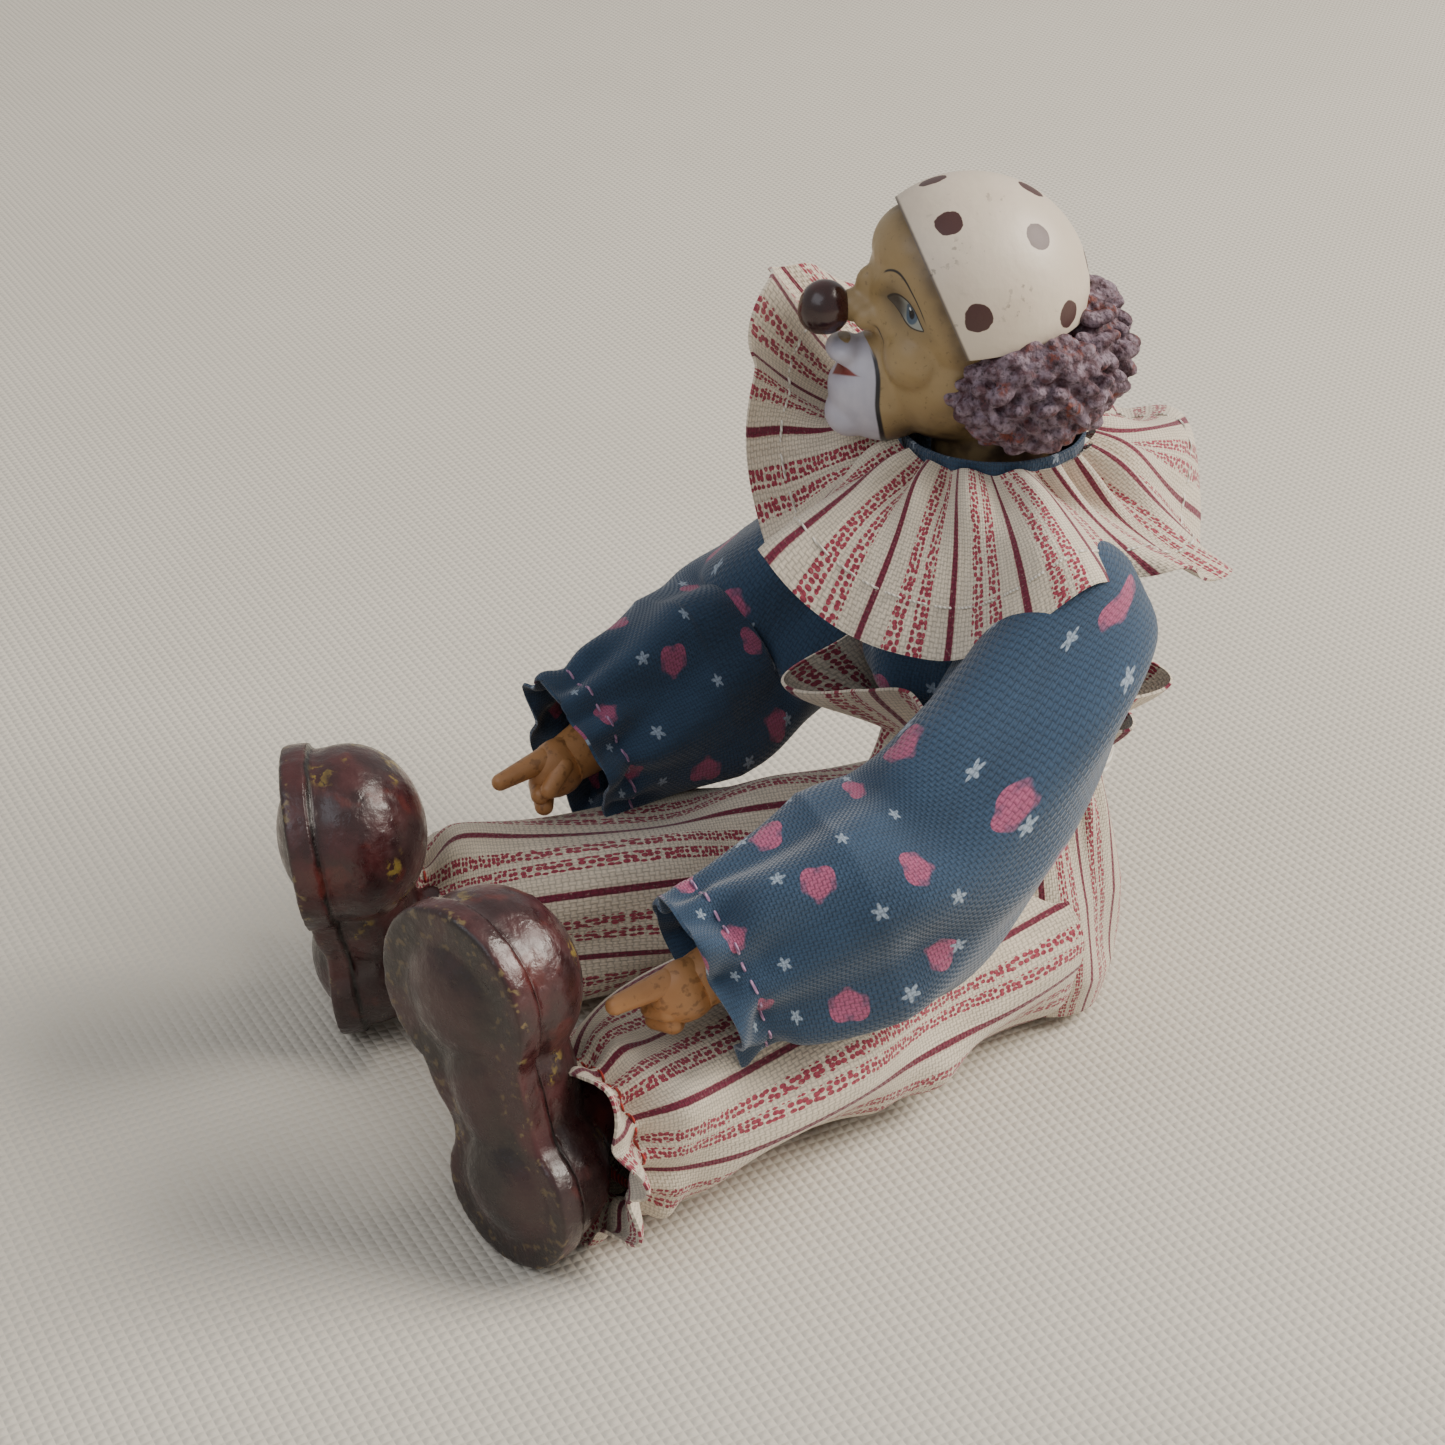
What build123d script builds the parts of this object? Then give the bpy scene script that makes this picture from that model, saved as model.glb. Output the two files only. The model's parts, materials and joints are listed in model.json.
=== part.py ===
"""Seated clown doll: cast head, hands and boots on a stuffed, wired cloth body.

Frame: origin on the surface it sits on, under the seat. The doll faces -Y, its left is +X, +Z is up.
The left and right limbs are made by the same functions from each side's own joint centres.
"""
from build123d import *
import os
from math import radians, cos, sin

# ---- driving dimensions, mm ----
CLOTH = 0.6                 # sewn cotton, with its seam allowance
GAP = 0.35                  # running gap between pieces of different bodies
WIRE_R = 0.8                # armature wire
WIRE_HOLE_R = 1.15          # passage for the wire through filling and cloth
THREAD_R = 0.45             # gathering thread and elastic

NECK = Vector(0, -3, 0)     # vertical neck axis
HEAD_Z = 84.5               # height of the head's centre
HEAD_OUT = 2.0              # head's centre stands this far in front of the neck axis
HEAD_TURN = -22.0           # the head looks over the doll's right side at rest
CAP_BRIM_Z = -1.2            # lower edge of the skull cap, from the head's centre
CAP_SLOPE = 24.0            # the cap's front edge leans back going down
NECK_PLUG_R = 5.2
NECK_PLUG_Z = 61.5          # lower end of the cast neck

# Torso sections: height, half width, half depth, centre in y
TORSO = [
    (-1.5, 14.5, 7.0, 1.5),
    (5.0, 16.0, 7.8, 1.0),
    (16.0, 15.5, 8.2, 0.6),
    (28.0, 13.2, 8.4, 0.2),
    (37.0, 12.0, 8.2, -0.6),
    (47.0, 12.2, 8.4, -2.0),
    (55.0, 11.2, 8.0, -3.0),
    (61.0, 7.0, 6.6, -3.0),
]
SHIRT_TOP_Z = 61.0
NECK_BAND_TOP_Z = 70.3
SHIRT_HEM_Z = 27.0
WAIST_Z = 33.5
FRILL_TOP_Z = 40.0

# Joint centres of the left limbs and of the right limbs
SHOULDER_L = Vector(18.0, -4.0, 53.0)
ELBOW_L = Vector(25.5, -20.0, 38.0)
WRIST_L = Vector(24.5, -47.0, 29.5)
SHOULDER_R = Vector(-18.0, -4.0, 53.0)
ELBOW_R = Vector(-29.5, -13.0, 35.5)
WRIST_R = Vector(-25.0, -39.0, 28.5)
HIP_L = Vector(10.5, -14.0, 11.5)
KNEE_L = Vector(15.8, -37.0, 11.5)
ANKLE_L = Vector(22.5, -62.0, 11.5)

SHOULDER_BALL_R = 6.2
ELBOW_BALL_R = 5.6
HIP_BALL_R = 10.0
KNEE_BALL_R = 7.8
SLEEVE_R = 9.0
TROUSER_R = 10.4
CUFF_R = 5.6
ANKLE_R = 7.0
JOINT_NECK_R = 3.2          # narrow start of a lower segment, beside the joint's ball

BOOT_LENGTH = 41.0
BOOT_TOE_R = 10.3
BOOT_HEEL_R = 8.6
BOOT_SOLE_T = 3.0
BOOT_DEPTH = 15.0           # from the ankle to the tread
BOOT_LEAN = 15.0            # toes lean in towards each other
BOOT_STUB_R = 4.6

HAND_LENGTH = 14.0

os.makedirs("parts", exist_ok=True)


def save(shape, name):
    shape.label = name
    export_step(shape, f"parts/{name}.step")


def mirror_x(point):
    return Vector(-point.X, point.Y, point.Z)


def ellipsoid(rx, ry, rz, centre=(0, 0, 0)):
    return Pos(*centre) * scale(Sphere(1), by=(rx, ry, rz))


# ---- torso ----

def torso_form(grow, low, high):
    """The body's stuffed outline, grown by a thickness and kept between two heights."""
    rings = [
        Pos(0, cy, z) * Ellipse(rx + grow, ry + grow)
        for z, rx, ry, cy in TORSO
    ]
    form = loft(rings)
    return form & Pos(0, 0, (low + high) / 2) * Box(80, 80, high - low)


def torso_shell(outer, inner, low, high, floor=0.0):
    return torso_form(outer, low, high) - torso_form(inner, low + floor, high + 1)


def cut_each(shape, tools):
    for tool in tools:
        shape = shape - tool
    return shape


def joint_room():
    """Space that the shoulder and hip balls and the lowered thighs turn in."""
    room = []
    for side in (1, -1):
        shoulder = Pos(side * SHOULDER_L.X, SHOULDER_L.Y, SHOULDER_L.Z)
        hip = Pos(side * HIP_L.X, HIP_L.Y, HIP_L.Z)
        room.append(shoulder * Sphere(SHOULDER_BALL_R + GAP))
        room.append(hip * Sphere(HIP_BALL_R + GAP))
        room.append(hip * Pos(0, 0, -HIP_L.Z) * Cylinder(TROUSER_R + GAP, 2 * HIP_L.Z))
    return room


def clear_joints(shape):
    return cut_each(shape, joint_room())


def neck_ring(inner, outer, low, high):
    height = high - low
    ring = Cylinder(outer, height) - Cylinder(inner, height + 2)
    return Pos(NECK.X, NECK.Y, (low + high) / 2) * ring


def wire_pieces(points, radius):
    """Straight round runs of a wire, with a ball at each point."""
    pieces = [Pos(*points[0]) * Sphere(radius)]
    for a, b in zip(points, points[1:]):
        run = Vector(*b) - Vector(*a)
        rod = Cylinder(radius, run.length)
        pieces.append(Plane(origin=a, z_dir=run) * Pos(0, 0, run.length / 2) * rod)
        pieces.append(Pos(*b) * Sphere(radius))
    return pieces


SPINE = [(0, 1.5, 12), (0, 1, 22), (0, -0.5, 36), (0, -3, 50), (0, -3, NECK_PLUG_Z - 1.6)]
SHOULDER_YOKE = [(-9.4, -3.5, 52.1), (0, -3, 50), (9.4, -3.5, 52.1)]
HIP_YOKE = [(-9.0, -1.6, 12), (0, 1.5, 12), (9.0, -1.6, 12)]


def armature(radius):
    """Every run of the body's wire: spine, shoulder yoke and hip yoke."""
    pieces = []
    for route in (SPINE, SHOULDER_YOKE, HIP_YOKE):
        pieces += wire_pieces(route, radius)
    return pieces


def make_torso():
    passage = armature(WIRE_HOLE_R)
    neck_hole = Pos(NECK.X, NECK.Y, 64) * Cylinder(NECK_PLUG_R + GAP, 20)

    filling = torso_form(-1.0, 2.6, 59.2)
    save(cut_each(clear_joints(filling), passage), "torso_filling")

    casing = clear_joints(torso_shell(0.0, -0.8, 1.6, SHIRT_TOP_Z, 0.8))
    casing = casing + neck_ring(NECK_PLUG_R + GAP, NECK_PLUG_R + 1.2, 60.0, 68.6)
    save(casing, "torso_casing")

    wire = Sphere(WIRE_R).moved(Pos(*SPINE[0]))
    for piece in armature(WIRE_R):
        wire = wire + piece
    save(clear_joints(wire), "spine_wire")
    save(neck_ring(NECK_PLUG_R + 1.25, NECK_PLUG_R + 2.0, 64.5, 65.6), "neck_thread")

    shirt = torso_shell(1.0, 0.3, SHIRT_HEM_Z, SHIRT_TOP_Z) - neck_hole
    save(clear_joints(shirt), "shirt_body")
    band = neck_ring(8.2, 10.0, 60.4, 63.0) + neck_ring(9.2, 10.0, 60.4, NECK_BAND_TOP_Z)
    save(band - torso_form(1.05, 50, 62), "neck_band")

    seat = torso_shell(2.5, 1.3, 0.0, WAIST_Z + 1, 1.0)
    frill_low = Pos(0, -0.3, WAIST_Z) * Ellipse(12.6 + 2.5, 8.4 + 2.5)
    frill_high = Pos(0, -0.6, FRILL_TOP_Z) * Ellipse(18.0, 15.0)
    hollow_low = Pos(0, -0.3, WAIST_Z - 0.01) * Ellipse(12.6 + 1.7, 8.4 + 1.7)
    hollow_high = Pos(0, -0.6, FRILL_TOP_Z + 0.01) * Ellipse(17.0, 14.0)
    frill = loft([frill_low, frill_high]) - loft([hollow_low, hollow_high])
    frill = frill - torso_form(1.3, SHIRT_HEM_Z, 50)
    arm_side = Box(60, 80, 40).moved(Pos(0, 0, FRILL_TOP_Z))
    seat = seat + (frill & arm_side)
    save(clear_joints(seat), "trousers_seat")
    band_low, band_high = WAIST_Z - 1.5, WAIST_Z - 0.5
    save(torso_shell(3.2, 2.55, band_low, band_high), "waist_elastic")


# ---- ruff ----

# Around the neck from the front, turning to the doll's left: fold line and hem
RUFF_FOLD = [
    (0, -20.0, 63.5), (9, -17.5, 61.5), (15, -12.0, 62.5), (16.5, -4.0, 63.0),
    (13.5, 4.5, 63.5), (8.5, 14.0, 63.5), (0, 17.5, 64.5), (-9, 16.0, 65.0),
    (-17.5, 8.0, 66.0), (-20.5, -3.0, 66.5), (-16.5, -13.5, 66.0), (-9, -19.0, 65.0),
]
RUFF_HEM = [
    (0, -29.5, 58.0), (11, -23.0, 53.0), (20, -16.5, 55.5), (22.0, -6.0, 61.5),
    (17.5, 5.5, 59.0), (15.0, 19.0, 54.5), (0, 26.0, 56.0), (-12, 25.0, 63.0),
    (-23, 12.0, 71.5), (-27, -4.0, 78.0), (-21.5, -17.0, 83.0), (-11, -26.5, 76.0),
]
RUFF_NECK_R = 10.6
RUFF_NECK_Z = 69.0
RUFF_T = 1.1
RUFF_STEPS = 36


def closed_curve(points, count):
    curve = Spline([Vector(*p) for p in points], periodic=True)
    return [curve @ (i / count) for i in range(count)]


def facet_solid(rings):
    """Closed solid between rings of points; the last ring joins the first."""
    faces = []
    count = len(rings[0])
    for ring, after in zip(rings, rings[1:] + rings[:1]):
        for i in range(count):
            j = (i + 1) % count
            a, b, c, d = ring[i], ring[j], after[j], after[i]
            faces.append(Face(Wire.make_polygon([a, b, c])))
            faces.append(Face(Wire.make_polygon([a, c, d])))
    return Solid(Shell(faces))


def make_ruff():
    turn = [radians(360 * i / RUFF_STEPS - 90) for i in range(RUFF_STEPS)]
    neck = [
        Vector(NECK.X + RUFF_NECK_R * cos(a), NECK.Y + RUFF_NECK_R * sin(a), RUFF_NECK_Z)
        for a in turn
    ]
    fold = closed_curve(RUFF_FOLD, RUFF_STEPS)
    hem = closed_curve(RUFF_HEM, RUFF_STEPS)
    down = Vector(0, 0, -RUFF_T)
    under = []
    for ring in (hem, fold):
        for_ring = []
        for p in ring:
            out = Vector(p.X - NECK.X, p.Y - NECK.Y, 0).normalized()
            rise = max(0.0, min(1.0, (p.Z - 60) / 12)) if ring is hem else 0.0
            for_ring.append(p + down * (1 - rise) + out * (RUFF_T * rise))
        under.append(for_ring)
    under.append([p + down for p in neck])
    save(facet_solid([neck, fold, hem] + under), "collar_ruff")


# ---- head ----

def head_place():
    out = Vector(0, -HEAD_OUT, 0)
    return Pos(NECK.X, NECK.Y, HEAD_Z) * Rot(0, 0, HEAD_TURN) * Pos(out.X, out.Y, 0)


def head_form():
    skull = ellipsoid(11.1, 11.7, 11.8, (0, -0.9, 1.3))
    jaw = ellipsoid(9.6, 9.6, 9.6, (0, -2.2, -5.6))
    muzzle = ellipsoid(6.4, 6.8, 5.5, (0, -9.6, -8.2))
    return skull + jaw + muzzle


def make_head():
    place = head_place()
    form = head_form()
    neck_length = HEAD_Z - 8 - NECK_PLUG_Z
    neck = Pos(0, HEAD_OUT, -8 - neck_length / 2) * Cylinder(NECK_PLUG_R, neck_length)
    nose_tip = Pos(0, -13.0, 0.2) * Rot(90, 0, 0) * Cylinder(1.7, 3.6)
    nose_ball = Pos(0, -16.6, 0.2) * Sphere(2.9)

    cap = ellipsoid(12.1, 12.9, 12.8, (0, -1.2, 1.3)) - form
    cap = cap - Pos(0, 0, CAP_BRIM_Z - 20) * Box(60, 60, 40)
    cap = cap - Pos(0, -4.2, 7.0) * Rot(-CAP_SLOPE, 0, 0) * Pos(0, -20, 0) * Box(60, 40, 60)

    below_cap = Pos(0, 0, CAP_BRIM_Z - 0.1 - 20) * Box(60, 60, 40)
    back = ellipsoid(9.0, 4.8, 7.2, (0, 11.6, -6.4))
    hair_back = (back & below_cap) - form
    hair_left = (ellipsoid(4.2, 8.4, 6.3, (10.4, 5.2, -7.4)) & below_cap) - form - back
    hair_right = (ellipsoid(4.2, 8.4, 6.3, (-10.4, 5.2, -7.4)) & below_cap) - form - back

    head = form + neck + (nose_tip - nose_ball)
    bore = Pos(0, HEAD_OUT, NECK_PLUG_Z - HEAD_Z) * Cylinder(WIRE_HOLE_R, 6)
    save(place * (head - bore), "head_casting")
    save(place * nose_ball, "nose_ball")
    save(place * cap, "skull_cap")
    save(place * hair_left, "hair_left")
    save(place * hair_back, "hair_back")
    save(place * hair_right, "hair_right")


# ---- limbs ----

def turned(outline):
    """Solid of revolution about Z from (radius, height) points, smooth between them."""
    points = [(r, 0, t) for r, t in outline]
    curve = Spline(*points)
    low, high = outline[0][1], outline[-1][1]
    edges = [
        Line((0, 0, low), points[0]),
        curve,
        Line(points[-1], (0, 0, high)),
        Line((0, 0, high), (0, 0, low)),
    ]
    return revolve(Face(Wire(edges)), Axis.Z)


def segment_form(outline, ball_low, ball_high, length, shrink):
    """Turned limb segment with the balls of its joints, made smaller by shrink."""
    form = turned([(r - shrink, t) for r, t in outline])
    if ball_low:
        form = form + Sphere(ball_low - shrink)
    if ball_high:
        form = form + Pos(0, 0, length) * Sphere(ball_high - shrink)
    return form


def place_on(start, end):
    return Plane(origin=start, z_dir=(end - start)).location


def upper_segment(names, start, end, ball_start, ball_end, full_r):
    """Cloth, filling and wire of an upper arm or a thigh, between two joint centres."""
    cloth_name, filling_name, wire_name = names
    length = (end - start).length
    outline = [
        (ball_start * 0.93, ball_start * 0.3),
        (full_r, length * 0.42),
        (full_r * 0.93, length * 0.62),
        (ball_end * 0.80, length - ball_end * 0.55),
    ]
    hole = Pos(0, 0, length / 2) * Cylinder(WIRE_HOLE_R, length * 3)
    outer = segment_form(outline, ball_start, ball_end, length, 0)
    inner = segment_form(outline, ball_start, ball_end, length, CLOTH)
    filling = segment_form(outline, ball_start, ball_end, length, CLOTH + 0.3)
    wire = Pos(0, 0, length / 2) * Cylinder(WIRE_R, length)
    place = place_on(start, end)
    save(place * (outer - inner - hole), cloth_name)
    save(place * (filling - hole), filling_name)
    save(place * wire, wire_name)


def lower_segment(names, start, end, ball_start, full_r, tie_r, stub_r, hem_r, hem_out):
    """Cloth, filling, wire and gathering thread of a forearm or a shin."""
    cloth_name, filling_name, wire_name, thread_name = names
    length = (end - start).length
    begin = ball_start + GAP
    outline = [
        (JOINT_NECK_R, begin),
        (full_r * 0.86, begin + (length - begin) * 0.34),
        (full_r, begin + (length - begin) * 0.58),
        (tie_r, length - 2.0),
        (hem_r, length + hem_out),
    ]
    outer = turned(outline)
    inner_outline = [(r - CLOTH, t) for r, t in outline]
    inner = turned(inner_outline)
    filling_outline = [
        (JOINT_NECK_R - CLOTH - 0.3, begin + 0.2),
        (full_r * 0.86 - CLOTH - 0.9, begin + (length - begin) * 0.34),
        (full_r - CLOTH - 1.4, begin + (length - begin) * 0.58),
        (stub_r, length - 6.5),
    ]
    hole = Pos(0, 0, length / 2) * Cylinder(WIRE_HOLE_R, length * 3)
    mouth = Pos(0, 0, length + 5) * Cylinder(hem_r * 2, 10 - 2 * hem_out)
    cloth = outer - inner - mouth
    filling = turned(filling_outline) - hole
    wire_end = length - 6.8
    wire = Pos(0, 0, (begin + wire_end) / 2) * Cylinder(WIRE_R, wire_end - begin)
    thread = Pos(0, 0, length - 2.0) * Torus(tie_r + THREAD_R + 0.15, THREAD_R)
    place = place_on(start, end)
    save(place * (cloth - Pos(0, 0, begin) * Cylinder(WIRE_HOLE_R, 6)), cloth_name)
    save(place * (filling & Pos(0, 0, length / 2) * Box(60, 60, length * 2)), filling_name)
    save(place * wire, wire_name)
    save(place * (thread - outer), thread_name)


def finger(base, tip, base_r, tip_r):
    run = Vector(*tip) - Vector(*base)
    cone = Pos(0, 0, run.length / 2) * Cone(base_r, tip_r, run.length)
    place = Plane(origin=base, z_dir=run).location
    return place * (cone + Sphere(base_r) + Pos(0, 0, run.length) * Sphere(tip_r))


def make_hand(side, elbow, wrist, name):
    """Cast hand: forefinger pointing, thumb over three curled fingers, and a stub in the cuff."""
    stub_r = CUFF_R - CLOTH - GAP - 0.6
    palm = ellipsoid(2.6, 3.6, 3.8, (0, -0.2, 6.6))
    hand = Pos(0, 0, 0.6) * Cone(stub_r, stub_r * 0.72, 9.2) + palm
    hand = hand + finger((0, 1.9, 8.0), (0, 2.6, HAND_LENGTH), 1.45, 1.0)
    for step in range(3):
        across = 0.6 - 1.65 * step
        hand = hand + finger((0.5, across, 9.2), (-1.3, across - 0.1, 10.4), 1.3, 1.1)
    hand = hand + finger((-1.6, 0.8, 6.6), (-2.4, -0.4, 9.6), 1.25, 1.05)
    if side < 0:
        hand = mirror(hand, Plane.YZ)
    run = wrist - elbow
    x_dir = Vector(1, 0, 0) - run.normalized() * run.normalized().X
    place = Plane(origin=wrist, x_dir=x_dir, z_dir=run).location
    save(place * hand, name)


def boot_outline(shrink):
    toe_z = BOOT_LENGTH - BOOT_TOE_R
    heel_z = BOOT_HEEL_R
    toe = Pos(0, toe_z) * Circle(BOOT_TOE_R - shrink)
    heel = Pos(0, heel_z) * Circle(BOOT_HEEL_R - shrink)
    outline = make_hull((toe + heel).edges())
    arch_r = 22.0
    for side in (1, -1):
        arch = Pos(side * (arch_r + 7.2 - shrink), BOOT_LENGTH * 0.42) * Circle(arch_r)
        outline = outline - arch
    return outline


def make_boot(side, name):
    """Cast boot standing on its heel: tread forward, bulbous toe up, short ankle at the back."""
    tread = Plane.XZ * boot_outline(0)
    sole = Pos(0, -BOOT_DEPTH + BOOT_SOLE_T, 0) * extrude(tread, BOOT_SOLE_T)
    toe_z = BOOT_LENGTH - BOOT_TOE_R
    back_y = -BOOT_DEPTH + BOOT_SOLE_T
    body = Pos(0, back_y + 3.0, 0) * extrude(Plane.XZ * boot_outline(0.9), 3.0)
    toe = ellipsoid(9.3, 10.2, 9.4, (0, back_y, toe_z)) & Pos(0, back_y + 20, toe_z) * Box(60, 40, 60)
    heel = ellipsoid(7.7, 9.0, 8.4, (0, back_y, 9.3)) & Pos(0, back_y + 20, 9) * Box(60, 40, 60)
    instep = ellipsoid(6.8, 8.6, 9.0, (0, back_y, 18.5)) & Pos(0, back_y + 20, 18) * Box(60, 40, 60)
    boot = sole + body + toe + heel + instep
    boot = boot & Pos(0, -20 - 2.6, 20) * Box(60, 40, 60)
    stub = Pos(0, -1.3, HIP_L.Z) * Rot(90, 0, 0) * Cylinder(BOOT_STUB_R, 9.0)
    boot = boot + stub
    lean = Pos(0, 0, BOOT_HEEL_R) * Rot(0, -side * BOOT_LEAN, 0) * Pos(0, 0, -BOOT_HEEL_R)
    ankle = ANKLE_L if side > 0 else mirror_x(ANKLE_L)
    shift = -side * (HIP_L.Z - BOOT_HEEL_R) * sin(radians(BOOT_LEAN))
    place = Pos(ankle.X - shift, ankle.Y + 2.0, 0) * lean
    save(place * boot, name)


def make_limbs():
    for side, word in ((1, "left"), (-1, "right")):
        shoulder = SHOULDER_L if side > 0 else SHOULDER_R
        elbow = ELBOW_L if side > 0 else ELBOW_R
        wrist = WRIST_L if side > 0 else WRIST_R
        hip = HIP_L if side > 0 else mirror_x(HIP_L)
        knee = KNEE_L if side > 0 else mirror_x(KNEE_L)
        ankle = ANKLE_L if side > 0 else mirror_x(ANKLE_L)
        upper_segment(
            (f"{word}_sleeve_upper", f"{word}_upper_arm_filling", f"{word}_upper_arm_wire"),
            shoulder, elbow, SHOULDER_BALL_R, ELBOW_BALL_R, SLEEVE_R * 0.84,
        )
        lower_segment(
            (f"{word}_sleeve_lower", f"{word}_forearm_filling", f"{word}_forearm_wire",
             f"{word}_cuff_elastic"),
            elbow, wrist, ELBOW_BALL_R, SLEEVE_R, CUFF_R, 3.0, CUFF_R + 0.5, 0.6,
        )
        make_hand(side, elbow, wrist, f"{word}_hand")
        upper_segment(
            (f"{word}_trouser_thigh", f"{word}_thigh_filling", f"{word}_thigh_wire"),
            hip, knee, HIP_BALL_R, KNEE_BALL_R, TROUSER_R,
        )
        lower_segment(
            (f"{word}_trouser_shin", f"{word}_shin_filling", f"{word}_shin_wire",
             f"{word}_ankle_thread"),
            knee, ankle, KNEE_BALL_R, TROUSER_R * 0.93, ANKLE_R, 3.6, ANKLE_R + 1.2, -0.4,
        )
        make_boot(side, f"{word}_boot")


make_torso()
make_ruff()
make_head()
make_limbs()
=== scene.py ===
import json
import math
import random
import bpy
import numpy as np
from mathutils import Euler, Matrix, Vector

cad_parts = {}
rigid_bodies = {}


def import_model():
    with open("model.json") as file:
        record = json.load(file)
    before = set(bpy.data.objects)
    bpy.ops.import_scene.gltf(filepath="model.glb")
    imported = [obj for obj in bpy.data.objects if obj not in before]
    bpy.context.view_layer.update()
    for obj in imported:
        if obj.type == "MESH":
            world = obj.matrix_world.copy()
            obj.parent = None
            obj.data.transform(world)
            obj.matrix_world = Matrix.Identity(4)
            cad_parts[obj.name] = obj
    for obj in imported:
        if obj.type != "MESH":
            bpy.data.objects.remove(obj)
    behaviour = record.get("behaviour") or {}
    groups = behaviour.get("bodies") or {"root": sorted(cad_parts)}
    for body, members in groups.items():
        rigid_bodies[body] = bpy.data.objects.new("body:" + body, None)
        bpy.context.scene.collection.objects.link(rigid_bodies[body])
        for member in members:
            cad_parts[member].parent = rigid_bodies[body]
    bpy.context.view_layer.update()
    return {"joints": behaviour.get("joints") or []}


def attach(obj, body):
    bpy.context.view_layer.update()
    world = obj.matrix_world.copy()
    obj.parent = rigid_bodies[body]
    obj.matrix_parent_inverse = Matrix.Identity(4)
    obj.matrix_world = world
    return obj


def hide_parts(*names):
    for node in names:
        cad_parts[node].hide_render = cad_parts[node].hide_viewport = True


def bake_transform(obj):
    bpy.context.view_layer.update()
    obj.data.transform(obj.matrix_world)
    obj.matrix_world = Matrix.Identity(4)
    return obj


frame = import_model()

MM = 0.001
JOINT = {j["name"]: Vector(j["pos_m"]) / MM for j in frame["joints"]}
SIDES = ((1, "left"), (-1, "right"))

# ---- table top, light and camera ----
# The doll sits on a plain pale cloth-covered table, lit by a broad soft window light from its back left.


def srgb(code):
    """Linear colour from a paint chart code such as 7a2438."""
    steps = [int(code[i:i + 2], 16) / 255 for i in (0, 2, 4)]
    line = [s / 12.92 if s <= 0.04045 else ((s + 0.055) / 1.055) ** 2.4 for s in steps]
    return (*line, 1.0)


def node(tree, kind, settings=None, **inputs):
    """Adds a node; an input is a value or another node's output socket."""
    made = tree.nodes.new(kind)
    for key, value in (settings or {}).items():
        setattr(made, key, value)
    for key, value in inputs.items():
        name = int(key[1:]) if key[0] == "i" and key[1:].isdigit() else key.replace("_", " ")
        if isinstance(value, bpy.types.NodeSocket):
            tree.links.new(value, made.inputs[name])
        else:
            made.inputs[name].default_value = value
    return made


def calc(tree, how, a, b=0.0, c=0.0):
    """One Math node's value."""
    return node(tree, "ShaderNodeMath", {"operation": how}, i0=a, i1=b, i2=c).outputs[0]


def ridge(tree, value):
    """Rows of round ridges, one for each whole step of the value."""
    return calc(tree, "ABSOLUTE", calc(tree, "SINE", calc(tree, "MULTIPLY", value, math.pi)))


def far_from(tree, x, y):
    """Distance of a flat place from its origin."""
    return calc(tree, "SQRT", calc(tree, "ADD", calc(tree, "POWER", x, 2.0), calc(tree, "POWER", y, 2.0)))


def ramp(tree, value, low, high, out_low=0.0, out_high=1.0):
    """Smooth step of a value between two limits."""
    made = node(tree, "ShaderNodeMapRange", {"interpolation_type": "SMOOTHSTEP"}, Value=value)
    for index, number in enumerate((low, high, out_low, out_high), start=1):
        made.inputs[index].default_value = number
    return made.outputs[0]


def mix(tree, amount, below, above, how="MIX"):
    """Colour below, covered by colour above by an amount."""
    made = tree.nodes.new("ShaderNodeMix")
    made.data_type = "RGBA"
    made.blend_type = how
    for socket, value in ((0, amount), (6, below), (7, above)):
        if isinstance(value, bpy.types.NodeSocket):
            tree.links.new(value, made.inputs[socket])
        else:
            made.inputs[socket].default_value = value
    return made.outputs[2]


def blotch(tree, vector, size, detail=3.0):
    """Cloudy noise whose blotches are about size across, in the vector's own units."""
    made = node(tree, "ShaderNodeTexNoise", Vector=vector, Scale=1.0 / size, Detail=detail)
    return made.outputs[0]


def new_material(name, roughness, **uniform):
    """Material with one Principled shader; uniform holds the sockets that are the same all over."""
    made = bpy.data.materials.new(name)
    made.use_nodes = True
    shader = made.node_tree.nodes["Principled BSDF"]
    shader.inputs["Roughness"].default_value = roughness
    for key, value in uniform.items():
        shader.inputs[key.replace("_", " ")].default_value = value
    return made, made.node_tree, shader


def bump(tree, shader, height, strength, distance):
    made = node(tree, "ShaderNodeBump", Strength=strength, Distance=distance, Height=height)
    tree.links.new(made.outputs[0], shader.inputs["Normal"])


TABLE_HALF = 1.6
TABLE_WEAVE = 0.0012
bpy.ops.object.select_all(action="DESELECT")
bpy.ops.mesh.primitive_plane_add(size=2 * TABLE_HALF, location=(0, 0, 0))
table = bpy.context.active_object
table.name = "table_top"
linen, tree, shader = new_material("table_linen", 0.95)
place = node(tree, "ShaderNodeTexCoord").outputs["Object"]
threads = node(tree, "ShaderNodeVectorMath", {"operation": "SCALE"}, Vector=place, Scale=1 / TABLE_WEAVE)
row = node(tree, "ShaderNodeSeparateXYZ", Vector=threads.outputs[0])
weave = calc(tree, "MULTIPLY", ridge(tree, row.outputs[0]), ridge(tree, row.outputs[1]))
pale = mix(tree, blotch(tree, place, 0.05), srgb("c9c4b8"), srgb("d3cec3"))
tree.links.new(pale, shader.inputs["Base Color"])
bump(tree, shader, weave, 0.5, 0.0004)
table.data.materials.append(linen)

world = bpy.data.worlds.new("soft_room")
bpy.context.scene.world = world
world.use_nodes = True
world.node_tree.nodes["Background"].inputs[0].default_value = srgb("e9e6e2")
world.node_tree.nodes["Background"].inputs[1].default_value = 0.6


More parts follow.
